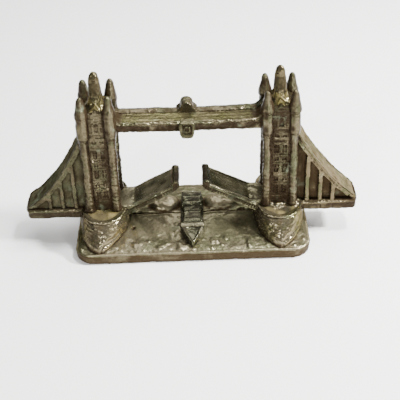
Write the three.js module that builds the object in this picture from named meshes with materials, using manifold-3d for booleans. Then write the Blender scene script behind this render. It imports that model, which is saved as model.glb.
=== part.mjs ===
// Miniature of a twin-towered bascule bridge, cast in antiqued pewter and soldered up from separate castings.
// Millimetres, +Z up. +X runs along the bridge, -Y is the side that the boat's bow points to.
// The origin is the middle of the plinth's underside.
import * as THREE from "three";
import { mergeVertices } from "three/addons/utils/BufferGeometryUtils.js";
import Module from "manifold-3d";

const wasm = await Module();
wasm.setup();

// ---- Driving dimensions -------------------------------------------------------------------------

const overallLength = 70; // from one side span's end to the other's
const towerSpacing = 36.8; // between the two towers' axes
const fitClearance = 0.04; // round anything that sits in a pocket or against a round turret

const plinthMargin = 1.5; // the plinth runs this far past the piers at each end
const plinthDepth = 24.8;
const plinthEdge = 2.25; // height of the plinth's rim
const plinthCorner = 4;
const riverRise = 1.0; // the water is higher along the plinth's middle than at its rim

const pierTop = 7.75; // the road level too
const copingThickness = 0.6;
const copingHalfWidth = 5.0;
const copingHalfDepth = 8.3;
const copingOverhang = 0.2;
const cutwaterHalfWidth = 4.75; // the pier at the water line
const cutwaterSetback = 0.6; // from the plinth's edge to the cutwater's nose
const cutwaterRounding = 8; // how crisply the flanks meet the sides, and the nose its point
const copingSquareness = 2.4; // 2 gives an ellipse, more gives a squarer oval
const pierSegments = 36;

const towerHalfWidth = 2.75;
const towerHalfDepth = 3.6;
const towerHeight = 23.25; // coping to eaves
const courseProud = 0.15;
const windowDepth = 0.35;

const turretInset = 0.05; // turret axes inside the tower's corners
const turretSegments = 12;
const shaftRadius = 0.95;
const headRadius = 1.18;
const headHeight = 5.0; // the wider top stage, which ends at the eaves
const capRadius = 1.32;
const capHeight = 3.75;
const capTipRadius = 0.42;

const roofHeight = 7.35; // eaves to the tip of the spire
const roofInset = 0.45; // the roof's foot inside the tower's side walls
const roofDepthRatio = 1.35; // the roof's depth over its width, at the eaves
const spireRadius = 0.66;
const spireShare = 0.56; // from here up the spire is as deep as it is wide
const gableWidth = 1.9;
const gableRise = 1.1;

const walkwayInset = 0.3; // the girders' faces inside the tower's front and rear walls
const girderThickness = 0.7;
const walkwayDrop = 4.65; // from the eaves to the girders' undersides
const girderHeight = 2.0;
const walkwayDeckDrop = 0.45; // the deck lies this much below the girders' tops
const walkwayDeckThickness = 1.2;
const rampLength = 1.9; // the deck turns up against each tower
const rampRise = 1.3;

const crestWidth = 2.6;
const crestProud = 0.9;
const crestInset = 0.25; // how far it reaches past the girder's inner face
const crestDrop = 1.25; // below the girder
const crestChamfer = 0.6;
const frontCrestRise = 0.55; // above the girder
const rearCrestRise = 1.85;

const spanInset = 0.45; // the trusses' faces inside the tower's front and rear walls
const trussThickness = 0.5;
const chainTipHeight = 0.3; // top of the chain over the road, at the span's end
const chainTipSlope = 0.75;
const chainDrop = 4.3; // from the eaves to the top of the chain where it meets the tower
const chainDepthAtTower = 3.0; // the upper and lower chords together, measured straight down
const chainDepthAtTip = 1.2;
const upperChord = 1.0;
const lowerChord = 0.7;
const slotStart = 0.35; // the slot between the chords, as shares of the run from the span's end
const slotEnd = 0.88;
const chainLip = 0.35; // how far the chain stands over the panel between the two trusses
const hangerWidth = 0.95;
const hangerPitch = 2.7;
const endBlockLength = 3.2; // no hanger stands nearer to the span's end
const firstHanger = 5.8; // from the tower's axis
const spanDeckThickness = 2.35;
const spanDeckProud = 0.15;

const leafGap = 4.7; // between the tips of the two raised leaves
const leafAngle = THREE.MathUtils.degToRad(28);
const leafHalfDepth = 3.5;
const leafThickness = 1.65;
const leafRootRise = 0.12; // the leaf's road over the coping, at the coping's edge
const kerbWidth = 0.55;
const kerbHeight = 0.3;

const boatHalfWidth = 2.45;
const bowSetback = 1.4; // from the plinth's edge to the boat's bow
const boatStern = 6.4;
const boatShoulder = -6.1; // where the sides start to run in to the bow
const boatDeck = 4.45;
const bowDrop = 0.65; // the foredeck falls towards the bow
const boatBottom = 2.3;
const coamingLength = 1.0;
const coamingHeight = 0.45;
const cabinHalfWidth = 1.55;
const cabinLength = 5.2;
const cabinHeight = 0.85;
const wheelhouseHalfWidth = 1.75;
const wheelhouseLength = 4.2;
const wheelhouseHeight = 1.5;

// ---- Sizes that follow --------------------------------------------------------------------------

const towerX = towerSpacing / 2;
const spanEnd = overallLength / 2;
const plinthLength = towerSpacing + 2 * (cutwaterHalfWidth + plinthMargin);
const cutwaterHalfDepth = plinthDepth / 2 - cutwaterSetback;
const towerTop = pierTop + towerHeight;
const turretX = towerHalfWidth - turretInset;
const turretY = towerHalfDepth - turretInset;
const turretHeadBottom = towerTop - headHeight;
const roofHalfWidth = towerHalfWidth - roofInset;
const walkwayHalfDepth = towerHalfDepth - walkwayInset;
const girderBottom = towerTop - walkwayDrop;
const girderTop = girderBottom + girderHeight;
const walkwayDeckTop = girderTop - walkwayDeckDrop;
const crestBottom = girderBottom - crestDrop;
const spanHalfDepth = towerHalfDepth - spanInset;
const spanRun = spanEnd - towerX - towerHalfWidth; // from the tower's wall to the span's end
const chainFall = towerTop - chainDrop - pierTop - chainTipHeight;
const chainCurvature = (chainFall - chainTipSlope * spanRun) / spanRun ** 2; // the chain is a parabola
const leafTipX = leafGap / 2;
const leafRun = towerX - copingHalfWidth - leafTipX;
const leafTipTop = pierTop + leafRootRise + leafRun * Math.tan(leafAngle);
const boatBow = bowSetback - plinthDepth / 2;
const sides = [
  { name: "left", sign: -1 },
  { name: "right", sign: 1 },
];
const faces = [
  { name: "front", sign: -1 },
  { name: "rear", sign: 1 },
];

// ---- Materials ----------------------------------------------------------------------------------

const pewter = (color, roughness) => new THREE.MeshStandardMaterial({ color, roughness, metalness: 0.9 });
const plinthPewter = pewter(0x7c7558, 0.42);
const pierPewter = pewter(0x857c68, 0.36);
const towerPewter = pewter(0x756a55, 0.42);
const roofPewter = pewter(0x6b6444, 0.45);
const walkwayPewter = pewter(0x837a5c, 0.45);
const spanPewter = pewter(0x6a6451, 0.45);
const leafPewter = pewter(0x5f5b48, 0.4);
const boatPewter = pewter(0x5d584a, 0.36);

// ---- Helpers ------------------------------------------------------------------------------------

const bridge = new THREE.Group();

// A closed geometry as a solid that can be cut and joined.
function toSolid(geometry) {
  const plain = geometry.clone();
  plain.deleteAttribute("normal");
  plain.deleteAttribute("uv");
  const merged = mergeVertices(plain, 1e-4);
  const vertProperties = new Float32Array(merged.attributes.position.array);
  const triVerts = new Uint32Array(merged.index.array);
  return new wasm.Manifold(new wasm.Mesh({ numProp: 3, vertProperties, triVerts }));
}

function toGeometry(solid) {
  const { vertProperties, triVerts } = solid.getMesh();
  const geometry = new THREE.BufferGeometry();
  geometry.setAttribute("position", new THREE.BufferAttribute(vertProperties, 3));
  geometry.setIndex(new THREE.BufferAttribute(triVerts, 1));
  geometry.computeVertexNormals();
  return geometry;
}

function add(name, solid, material) {
  const mesh = new THREE.Mesh(toGeometry(solid), material);
  mesh.name = name;
  bridge.add(mesh);
}

// A block between two corners.
function block(x0, x1, y0, y1, z0, z1) {
  const box = new THREE.BoxGeometry(Math.abs(x1 - x0), Math.abs(y1 - y0), Math.abs(z1 - z0));
  return toSolid(box.translate((x0 + x1) / 2, (y0 + y1) / 2, (z0 + z1) / 2));
}

const extrude = (shape, depth, curveSegments = 12) =>
  new THREE.ExtrudeGeometry(shape, { depth, bevelEnabled: false, curveSegments });

// A plan outline, raised from z0 to z1.
const raised = (shape, z0, z1) => toSolid(extrude(shape, z1 - z0).translate(0, 0, z0));

// An elevation drawn in X and Z, run from y0 to y1.
const acrossBridge = (shape, y0, y1) =>
  toSolid(extrude(shape, y1 - y0).rotateX(Math.PI / 2).translate(0, y1, 0));

// A section drawn in Y and Z, run from x0 to x1.
function alongBridge(shape, x0, x1) {
  const turn = new THREE.Matrix4().makeBasis(
    new THREE.Vector3(0, 1, 0),
    new THREE.Vector3(0, 0, 1),
    new THREE.Vector3(1, 0, 0),
  );
  return toSolid(extrude(shape, x1 - x0).applyMatrix4(turn).translate(x0, 0, 0));
}

const polygon = (points) => new THREE.Shape(points.map(([x, y]) => new THREE.Vector2(x, y)));

const mirrored = (points, sign) => {
  const placed = points.map(([x, y]) => [sign * x, y]);
  return sign < 0 ? placed.reverse() : placed;
};

// A profile of [radius, height] pairs turned round a vertical axis at x, y.
function turned(profile, segments, x, y) {
  const points = profile.map(([r, z]) => new THREE.Vector2(r, z));
  const lathe = new THREE.LatheGeometry(points, segments);
  return toSolid(lathe.rotateX(Math.PI / 2).rotateZ(Math.PI / segments).translate(x, y, 0));
}

function roundedRectangle(length, depth, radius) {
  const [a, b] = [length / 2, depth / 2];
  const shape = new THREE.Shape();
  shape.moveTo(-a + radius, -b);
  shape.lineTo(a - radius, -b).absarc(a - radius, -b + radius, radius, -Math.PI / 2, 0);
  shape.lineTo(a, b - radius).absarc(a - radius, b - radius, radius, 0, Math.PI / 2);
  shape.lineTo(-a + radius, b).absarc(-a + radius, b - radius, radius, Math.PI / 2, Math.PI);
  shape.lineTo(-a, -b + radius).absarc(-a + radius, -b + radius, radius, Math.PI, 1.5 * Math.PI);
  return shape;
}

// How far a squared-up oval of half width w and half depth d reaches at an angle.
function ovalReach(angle, w, d, squareness) {
  const across = Math.abs(Math.cos(angle)) / w;
  const along = Math.abs(Math.sin(angle)) / d;
  return (across ** squareness + along ** squareness) ** (-1 / squareness);
}

// The same for a cutwater: straight sides, and flanks that meet at a right angle on the nose.
function cutwaterReach(angle, w, d) {
  const across = Math.abs(Math.cos(angle));
  const flank = (across + Math.abs(Math.sin(angle))) / d;
  return ((across / w) ** cutwaterRounding + flank ** cutwaterRounding) ** (-1 / cutwaterRounding);
}

function copingShape(grow, x) {
  const points = [];
  for (let i = 0; i < pierSegments; i += 1) {
    const angle = (2 * Math.PI * i) / pierSegments;
    const reach = ovalReach(angle, copingHalfWidth + grow, copingHalfDepth + grow, copingSquareness);
    points.push([x + reach * Math.cos(angle), reach * Math.sin(angle)]);
  }
  return polygon(points);
}

// ---- Turrets, which the tower, the walkway and the side spans all fit round ---------------------

function turretProfile(extra) {
  const [shaft, head, cap, tip] = [shaftRadius, headRadius, capRadius, capTipRadius].map((r) => r + extra);
  const top = towerTop + capHeight + extra;
  return [
    [0, pierTop - extra],
    [shaft, pierTop - extra],
    [shaft, turretHeadBottom - 0.35 - extra],
    [head, turretHeadBottom + 0.35],
    [head, towerTop - 0.25],
    [cap, towerTop + 0.1],
    [0.9 * cap, towerTop + 0.22 * capHeight],
    [0.72 * cap, towerTop + 0.53 * capHeight],
    [0.55 * cap, towerTop + 0.76 * capHeight],
    [tip, towerTop + 0.91 * capHeight],
    [0.6 * tip, top - 0.15 * tip],
    [0, top],
  ];
}

const turretPlaces = (side) =>
  faces.flatMap((face) => [
    { name: `${side.name}_${face.name}_inner`, x: side.sign * (towerX - turretX), y: face.sign * turretY },
    { name: `${side.name}_${face.name}_outer`, x: side.sign * (towerX + turretX), y: face.sign * turretY },
  ]);

// What a tower's four turrets take out of anything that fits round them.
function turretRoom(side) {
  return turretPlaces(side)
    .map(({ x, y }) => turned(turretProfile(fitClearance), turretSegments, x, y))
    .reduce((room, turret) => room.add(turret));
}

function makeTurrets(side) {
  for (const { name, x, y } of turretPlaces(side)) {
    add(`turret_${name}`, turned(turretProfile(0), turretSegments, x, y), towerPewter);
  }
}

// ---- Plinth and piers ---------------------------------------------------------------------------

function boatPlan(grow) {
  const w = boatHalfWidth + grow;
  const shape = new THREE.Shape();
  shape.moveTo(-w, boatShoulder);
  shape.quadraticCurveTo(-0.72 * w, (boatShoulder + boatBow) / 2, 0, boatBow - grow);
  shape.quadraticCurveTo(0.72 * w, (boatShoulder + boatBow) / 2, w, boatShoulder);
  shape.lineTo(w, boatStern - 1).lineTo(w - 0.8, boatStern + grow);
  shape.lineTo(-w + 0.8, boatStern + grow).lineTo(-w, boatStern - 1);
  return shape;
}

function makePlinth() {
  const half = plinthDepth / 2;
  const crown = plinthEdge + riverRise;
  const section = polygon([[-half, 0], [half, 0], [half, plinthEdge], [0, crown], [-half, plinthEdge]]);
  const outline = raised(roundedRectangle(plinthLength, plinthDepth, plinthCorner), 0, crown + 1);
  let plinth = alongBridge(section, -plinthLength / 2, plinthLength / 2).intersect(outline);
  for (const side of sides) plinth = plinth.subtract(pierBody(side, fitClearance));
  plinth = plinth.subtract(raised(boatPlan(fitClearance), boatBottom, crown + 1));
  add("river_plinth", plinth, plinthPewter);
}

// The pier's plan changes with height from a pointed cutwater at the water to an oval under the coping.
function pierBody(side, grow) {
  const height = pierTop - copingThickness - plinthEdge;
  const body = new THREE.CylinderGeometry(1, 1, height, pierSegments, 3).rotateX(Math.PI / 2);
  const position = body.attributes.position;
  for (let i = 0; i < position.count; i += 1) {
    const radius = Math.hypot(position.getX(i), position.getY(i));
    const angle = Math.atan2(position.getY(i), position.getX(i));
    const share = position.getZ(i) / height + 0.5;
    const foot = cutwaterReach(angle, cutwaterHalfWidth + grow, cutwaterHalfDepth + grow);
    const inset = grow - copingOverhang;
    const head = ovalReach(angle, copingHalfWidth + inset, copingHalfDepth + inset, copingSquareness);
    const reach = radius * THREE.MathUtils.lerp(foot, head, share);
    position.setXY(i, reach * Math.cos(angle), reach * Math.sin(angle));
  }
  return toSolid(body.translate(side.sign * towerX, 0, plinthEdge + height / 2));
}

function makePier(side) {
  add(`pier_${side.name}`, pierBody(side, 0), pierPewter);
  const coping = copingShape(0, side.sign * towerX);
  add(`pier_coping_${side.name}`, raised(coping, pierTop - copingThickness, pierTop), pierPewter);
}

// What a pier takes out of the deck or leaf that runs up against it.
const pierRoom = (side) => raised(copingShape(fitClearance, side.sign * towerX), 0, pierTop);

// ---- Towers -------------------------------------------------------------------------------------

// Heights above the coping, as shares of the tower's height.
const windowRows = [
  { at: 0.2, height: 1.9 },
  { at: 0.44, height: 2.0 },
  { at: 0.62, height: 1.7 },
];
const windowWidth = 1.05;
const windowPitch = 1.75;
const topWindow = { at: 0.885, width: 1.3, height: 1.4 };
const courses = [
  { at: 0.31, height: 0.6 },
  { at: 0.545, height: 0.4 },
  { at: 0.735, height: 0.5 },
  { at: 0.8, height: 0.4 },
];

// A round-headed opening drawn in elevation, its middle at x, z.
function archedOpening(x, z, width, height) {
  const r = width / 2;
  const shape = new THREE.Shape();
  shape.moveTo(x - r, z - height / 2).lineTo(x + r, z - height / 2);
  shape.lineTo(x + r, z + height / 2 - r).absarc(x, z + height / 2 - r, r, 0, Math.PI);
  return shape;
}

function makeTower(side) {
  const x = side.sign * towerX;
  const [w, d] = [towerHalfWidth, towerHalfDepth];
  const between = turretX - shaftRadius;
  let body = block(x - w, x + w, -d, d, pierTop, towerTop);
  for (const { at, height } of courses) {
    const z = pierTop + at * towerHeight;
    const proud = d + courseProud;
    body = body.add(block(x - between, x + between, -proud, proud, z - height / 2, z + height / 2));
  }
  const openings = windowRows.flatMap(({ at, height }) => [
    { dx: -windowPitch / 2, at, width: windowWidth, height },
    { dx: windowPitch / 2, at, width: windowWidth, height },
  ]);
  openings.push({ dx: 0, ...topWindow });
  for (const { dx, at, width, height } of openings) {
    const opening = archedOpening(x + dx, pierTop + at * towerHeight, width, height);
    body = body.subtract(acrossBridge(opening, -d - 1, -d + windowDepth));
    body = body.subtract(acrossBridge(opening, d - windowDepth, d + 1));
  }
  add(`tower_${side.name}`, body.subtract(turretRoom(side)), towerPewter);
}

// A steep hollow-sided roof that runs up into a blunt spire, with a gable over each wall.
function makeRoof(side) {
  const x = side.sign * towerX;
  const corner = Math.SQRT2;
  const profile = [
    [0, towerTop],
    [roofHalfWidth * corner, towerTop],
    [0.76 * roofHalfWidth * corner, towerTop + 0.08 * roofHeight],
    [0.6 * roofHalfWidth * corner, towerTop + 0.2 * roofHeight],
    [0.5 * roofHalfWidth * corner, towerTop + 0.38 * roofHeight],
    [0.44 * roofHalfWidth * corner, towerTop + spireShare * roofHeight],
    [spireRadius * 1.4, towerTop + 0.74 * roofHeight],
    [spireRadius * 1.05, towerTop + 0.92 * roofHeight],
    [spireRadius * 0.7, towerTop + 0.98 * roofHeight],
    [0, towerTop + roofHeight],
  ];
  const points = profile.map(([r, z]) => new THREE.Vector2(r, z));
  const steeple = new THREE.LatheGeometry(points, 4).rotateX(Math.PI / 2).rotateZ(Math.PI / 4);
  const position = steeple.attributes.position;
  for (let i = 0; i < position.count; i += 1) {
    const share = Math.min(1, (position.getZ(i) - towerTop) / (spireShare * roofHeight));
    position.setY(i, position.getY(i) * THREE.MathUtils.lerp(roofDepthRatio, 1, share));
  }
  let roof = toSolid(steeple.translate(x, 0, 0));
  const g = gableWidth / 2;
  const outline = [[-g, 0], [g, 0], [g, 0.45 * gableRise], [0, gableRise], [-g, 0.45 * gableRise]];
  const gable = polygon(outline.map(([a, b]) => [x + a, towerTop + b]));
  const sideGable = polygon(outline.map(([a, b]) => [a, towerTop + b]));
  roof = roof.add(acrossBridge(gable, -towerHalfDepth, towerHalfDepth));
  roof = roof.add(alongBridge(sideGable, x - towerHalfWidth, x + towerHalfWidth));
  add(`tower_roof_${side.name}`, roof.subtract(turretRoom(side)), roofPewter);
}

// ---- High-level walkway -------------------------------------------------------------------------

function makeWalkway(room) {
  const end = towerX - towerHalfWidth;
  const inner = walkwayHalfDepth - girderThickness;
  const deckBottom = walkwayDeckTop - walkwayDeckThickness;
  const deckSide = polygon([
    [-end, deckBottom],
    [end, deckBottom],
    [end, walkwayDeckTop + rampRise],
    [end - rampLength, walkwayDeckTop],
    [-end + rampLength, walkwayDeckTop],
    [-end, walkwayDeckTop + rampRise],
  ]);
  add("walkway_deck", acrossBridge(deckSide, -inner, inner).subtract(room), walkwayPewter);
  for (const face of faces) {
    const [y0, y1] = face.sign < 0 ? [-walkwayHalfDepth, -inner] : [inner, walkwayHalfDepth];
    const girder = block(-end, end, y0, y1, girderBottom, girderTop);
    add(`walkway_girder_${face.name}`, girder.subtract(room), walkwayPewter);
  }
}

// A badge that hangs on a girder's outer face and laps over its top.
function makeCrest(face, top) {
  const a = crestWidth / 2;
  const c = crestChamfer;
  const outline = new THREE.Shape();
  outline.moveTo(-a + c, crestBottom).lineTo(a - c, crestBottom).lineTo(a, crestBottom + c);
  outline.lineTo(a, top - a).absarc(0, top - a, a, 0, Math.PI).lineTo(-a, crestBottom + c);
  const near = walkwayHalfDepth - girderThickness - crestInset;
  const far = walkwayHalfDepth + crestProud;
  const [y0, y1] = face.sign < 0 ? [-far, -near] : [near, far];
  const seat = block(-crestWidth, crestWidth, -walkwayHalfDepth, walkwayHalfDepth, 0, girderTop);
  add(`walkway_crest_${face.name}`, acrossBridge(outline, y0, y1).subtract(seat), walkwayPewter);
}

// ---- Side spans ---------------------------------------------------------------------------------

// Height of the chain's top at a distance from the span's end.
const chainTop = (u) => pierTop + chainTipHeight + chainTipSlope * u + chainCurvature * u * u;

// A band under the chain's top, in elevation, from u0 to u1 measured from the span's end. Its top and bottom
// edges are parabolas that lie below the chain's top by the given drops at u0 and at u1.
function chainBand(u0, u1, topDrops, bottomDrops, sign) {
  const edge = (u, drop) => new THREE.Vector2(sign * (spanEnd - u), chainTop(u) - drop);
  const bend = (drops) => {
    const z = (chainTop(u0) - drops[0] + chainTop(u1) - drops[1] - chainCurvature * (u1 - u0) ** 2) / 2;
    return new THREE.Vector2(sign * (spanEnd - (u0 + u1) / 2), z);
  };
  const shape = new THREE.Shape();
  const [a, b] = [edge(u0, topDrops[0]), edge(u1, topDrops[1])];
  const [c, d] = [edge(u1, bottomDrops[1]), edge(u0, bottomDrops[0])];
  const [topBend, bottomBend] = [bend(topDrops), bend(bottomDrops)];
  shape.moveTo(a.x, a.y).quadraticCurveTo(topBend.x, topBend.y, b.x, b.y);
  shape.lineTo(c.x, c.y).quadraticCurveTo(bottomBend.x, bottomBend.y, d.x, d.y);
  return shape;
}

// One cast truss: the chain's two chords with a slot between them, and the hangers down to the road.
function makeTruss(side, face, room) {
  const y = face.sign * spanHalfDepth;
  const [y0, y1] = face.sign < 0 ? [y, y + trussThickness] : [y - trussThickness, y];
  const s = side.sign;
  const depthAt = (u) => THREE.MathUtils.lerp(chainDepthAtTip, chainDepthAtTower, u / spanRun);
  const chords = chainBand(0, spanRun, [0, 0], [chainDepthAtTip, chainDepthAtTower], s);
  const [u0, u1] = [slotStart * spanRun, slotEnd * spanRun];
  const slotBottom = [depthAt(u0) - lowerChord, depthAt(u1) - lowerChord];
  const slot = chainBand(u0, u1, [upperChord, upperChord], slotBottom, s);
  let truss = acrossBridge(chords, y0, y1).subtract(acrossBridge(slot, y0 - 1, y1 + 1));
  const lastHanger = spanEnd - endBlockLength - hangerWidth / 2;
  for (let x = towerX + firstHanger; x <= lastHanger; x += hangerPitch) {
    const u = spanEnd - x;
    const top = chainTop(u) - depthAt(u) / 2;
    truss = truss.add(block(s * x - hangerWidth / 2, s * x + hangerWidth / 2, y0, y1, pierTop, top));
  }
  const below = block(-2 * spanEnd, 2 * spanEnd, -spanEnd, spanEnd, -spanEnd, pierTop);
  add(`suspension_truss_${side.name}_${face.name}`, truss.subtract(below).subtract(room), spanPewter);
}

function makeSpan(side, room) {
  const wall = towerX + towerHalfWidth;
  const inner = spanHalfDepth - trussThickness;
  const panel = new THREE.Shape();
  const s = side.sign;
  const tipTop = chainTop(0) - Math.min(chainLip, chainTipHeight * 0.8);
  const towerSide = chainTop(spanRun) - chainLip;
  panel.moveTo(s * wall, pierTop).lineTo(s * spanEnd, pierTop).lineTo(s * spanEnd, tipTop);
  const bendZ = (tipTop + towerSide - chainCurvature * spanRun ** 2) / 2;
  panel.quadraticCurveTo(s * (spanEnd - spanRun / 2), bendZ, s * wall, towerSide);
  add(`span_panel_${side.name}`, acrossBridge(panel, -inner, inner).subtract(room), spanPewter);
  const half = spanHalfDepth + spanDeckProud;
  const deckBottom = pierTop - spanDeckThickness;
  const deck = block(s * towerX, s * spanEnd, -half, half, deckBottom, pierTop);
  add(`span_deck_${side.name}`, deck.subtract(pierRoom(side)), spanPewter);
}

// ---- Raised leaves ------------------------------------------------------------------------------

function makeLeaf(side) {
  const rootX = towerX - copingHalfWidth * 0.6;
  const along = (x, lift) => [x, leafTipTop - (x - leafTipX) * Math.tan(leafAngle) + lift];
  const under = leafThickness / Math.cos(leafAngle);
  const lean = leafThickness * Math.sin(leafAngle);
  const outline = [along(leafTipX, 0), along(leafTipX + lean, -under), along(rootX, -under), along(rootX, 0)];
  const road = [along(0, 0.001), along(0, -kerbHeight), along(rootX, -kerbHeight), along(rootX, 2)];
  let leaf = acrossBridge(polygon(mirrored(outline, side.sign)), -leafHalfDepth, leafHalfDepth);
  const inner = leafHalfDepth - kerbWidth;
  leaf = leaf.subtract(acrossBridge(polygon(mirrored(road, side.sign)), -inner, inner));
  add(`bascule_leaf_${side.name}`, leaf.subtract(pierRoom(side)), leafPewter);
}

// ---- Boat ---------------------------------------------------------------------------------------

function makeBoat() {
  const hull = extrude(boatPlan(0), boatDeck - boatBottom, 6).translate(0, 0, boatBottom);
  const position = hull.attributes.position;
  for (let i = 0; i < position.count; i += 1) {
    const share = Math.max(0, (boatShoulder - position.getY(i)) / (boatShoulder - boatBow));
    if (position.getZ(i) > boatBottom + 0.01) position.setZ(i, boatDeck - bowDrop * share);
  }
  add("boat_hull", toSolid(hull), boatPewter);
  const w = boatHalfWidth;
  const coamingEnd = boatShoulder + coamingLength;
  const coaming = block(-w, w, boatShoulder, coamingEnd, boatDeck, boatDeck + coamingHeight);
  add("boat_coaming", coaming, boatPewter);
  const cabinEnd = coamingEnd + cabinLength;
  const cabinTop = boatDeck + cabinHeight;
  const cabin = block(-cabinHalfWidth, cabinHalfWidth, coamingEnd, cabinEnd, boatDeck, cabinTop);
  add("boat_cabin", cabin, boatPewter);
  const h = wheelhouseHalfWidth;
  const houseEnd = cabinEnd + wheelhouseLength;
  const house = block(-h, h, cabinEnd, houseEnd, boatDeck, boatDeck + wheelhouseHeight);
  add("boat_wheelhouse", house, boatPewter);
}

// ---- The assembly -------------------------------------------------------------------------------

makePlinth();
const rooms = sides.map((side) => turretRoom(side));
sides.forEach((side, i) => {
  makePier(side);
  makeTower(side);
  makeTurrets(side);
  makeRoof(side);
  makeSpan(side, rooms[i]);
  for (const face of faces) makeTruss(side, face, rooms[i]);
  makeLeaf(side);
});
makeWalkway(rooms[0].add(rooms[1]));
makeCrest(faces[0], girderTop + frontCrestRise);
makeCrest(faces[1], girderTop + rearCrestRise);
makeBoat();

export default bridge;
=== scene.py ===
import math
import bpy
import bmesh
import numpy as np
from mathutils import Matrix, Vector


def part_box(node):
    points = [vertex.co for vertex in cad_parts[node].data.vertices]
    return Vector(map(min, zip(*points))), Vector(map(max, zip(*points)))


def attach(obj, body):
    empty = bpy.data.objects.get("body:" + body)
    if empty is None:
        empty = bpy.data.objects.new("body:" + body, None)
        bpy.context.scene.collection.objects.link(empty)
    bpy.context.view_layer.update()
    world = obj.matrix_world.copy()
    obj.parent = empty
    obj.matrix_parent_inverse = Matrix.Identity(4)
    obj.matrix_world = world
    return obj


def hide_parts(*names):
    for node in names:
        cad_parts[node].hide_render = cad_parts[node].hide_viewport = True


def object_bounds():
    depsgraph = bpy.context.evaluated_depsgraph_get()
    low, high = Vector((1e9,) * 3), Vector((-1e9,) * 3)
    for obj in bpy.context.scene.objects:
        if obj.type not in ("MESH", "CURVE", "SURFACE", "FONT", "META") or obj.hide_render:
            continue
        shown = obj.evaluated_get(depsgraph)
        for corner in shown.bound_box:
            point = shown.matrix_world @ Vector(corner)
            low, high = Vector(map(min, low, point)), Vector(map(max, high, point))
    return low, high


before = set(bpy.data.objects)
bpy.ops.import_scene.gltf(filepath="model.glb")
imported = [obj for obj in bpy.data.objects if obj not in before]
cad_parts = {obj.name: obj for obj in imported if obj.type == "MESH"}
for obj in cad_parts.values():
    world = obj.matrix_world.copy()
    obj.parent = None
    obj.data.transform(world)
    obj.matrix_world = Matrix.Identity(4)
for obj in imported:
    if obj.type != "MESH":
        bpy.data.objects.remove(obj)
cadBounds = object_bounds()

# Everything below is modelled in millimetres and scaled to metres when a piece is finished.
toMetres = 0.001
coarse = 1.0


def boxMm(node):
    lo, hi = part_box(node)
    return np.array(lo) / toMetres, np.array(hi) / toMetres


plinthHi = boxMm("river_plinth")[1]
lowestMm, highestMm = (np.array(corner) / toMetres for corner in cadBounds)
sides = (("left", -1), ("right", 1))
faces = (("front", -1), ("rear", 1))


# ---- numbers on arrays of points

def fade(low, high, value):
    t = np.clip((value - low) / (high - low), 0, 1)
    return t * t * (3 - 2 * t)


def bump(value, middle, halfWidth, soft):
    # 1 inside the band, 0 outside, with a soft edge
    return 1 - fade(halfWidth - soft / 2, halfWidth + soft / 2, np.abs(value - middle))


def scatter(cell, seed):
    # a repeatable number from 0 to 1 for each lattice cell
    n = cell[:, 0] * 374761393 + cell[:, 1] * 668265263 + cell[:, 2] * 2147483647 + seed * 144665
    n = (n ^ (n >> 13)) * 1274126177 & 0x7FFFFFFF
    n = (n ^ (n >> 16)) * 69069 & 0x7FFFFFFF
    return (n & 0xFFFFFF) / 0xFFFFFF


def lumps(points, size, seed):
    # smooth random values, -1 to 1, with lumps of about the given size in mm
    spot = points / size + 1000 + seed * 7.31
    cell = np.floor(spot).astype(np.int64)
    part = spot - cell
    part = part * part * (3 - 2 * part)
    total = np.zeros(len(points))
    for corner in np.ndindex(2, 2, 2):
        weight = np.prod(np.where(np.array(corner) == 1, part, 1 - part), axis=1)
        total += weight * scatter(cell + np.array(corner), seed)
    return total * 2 - 1


def roughLumps(points, size, seed, layers=3):
    total = np.zeros(len(points))
    for i in range(layers):
        total += lumps(points, size / 2 ** i, seed + i) / 2 ** i
    return total / (2 - 0.5 ** (layers - 1))


# ---- outlines and moulds

def circle(x, y, z, radius, count=28):
    turns = [2 * math.pi * i / count for i in range(count)]
    return [(x + radius * math.cos(t), y + radius * math.sin(t), z) for t in turns]


def rectangle(x0, x1, y0, y1, z):
    return [(x0, y0, z), (x1, y0, z), (x1, y1, z), (x0, y1, z)]


def ovalReach(turn, halfWidth, halfDepth, squareness=2.4):
    # how far a squared-up oval reaches at an angle
    across, along = abs(math.cos(turn)) / halfWidth, abs(math.sin(turn)) / halfDepth
    return (across ** squareness + along ** squareness) ** (-1 / squareness)


def cutwaterReach(turn, halfWidth, halfDepth, rounding=4, blunt=0.05):
    # straight sides, and flanks that meet at a right angle on a blunted nose
    across = abs(math.cos(turn))
    flank = (math.hypot(across, blunt) + abs(math.sin(turn))) / (halfDepth * (1 + blunt))
    return ((across / halfWidth) ** rounding + flank ** rounding) ** (-1 / rounding)


def reachRing(x, y, z, reach, count=72):
    turns = [2 * math.pi * i / count for i in range(count)]
    return [(x + reach(t) * math.cos(t), y + reach(t) * math.sin(t), z) for t in turns]


def oval(x, y, z, halfWidth, halfDepth, squareness=2.4):
    return reachRing(x, y, z, lambda t: ovalReach(t, halfWidth, halfDepth, squareness))


def loft(mould, rings):
    # joins rings of equal count into a closed shape
    rows = [[mould.verts.new(p) for p in ring] for ring in rings]
    count = len(rows[0])
    for low, high in zip(rows, rows[1:]):
        for i in range(count):
            j = (i + 1) % count
            mould.faces.new((low[i], low[j], high[j], high[i]))
    mould.faces.new(rows[0][::-1])
    mould.faces.new(rows[-1])


def turned(mould, x, y, profile):
    loft(mould, [circle(x, y, z, r) for r, z in profile])


def prism(mould, outline, y0, y1):
    # an elevation in x and z, run from y0 to y1
    loft(mould, [[(x, y, z) for x, z in outline] for y in (y0, y1)])


def blob(mould, centre, radii):
    turn = Matrix.Translation(centre) @ Matrix.Diagonal((*radii, 1))
    bmesh.ops.create_icosphere(mould, subdivisions=2, radius=1, matrix=turn)


# ---- casting: a mould becomes one soft, lumpy metal skin

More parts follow.
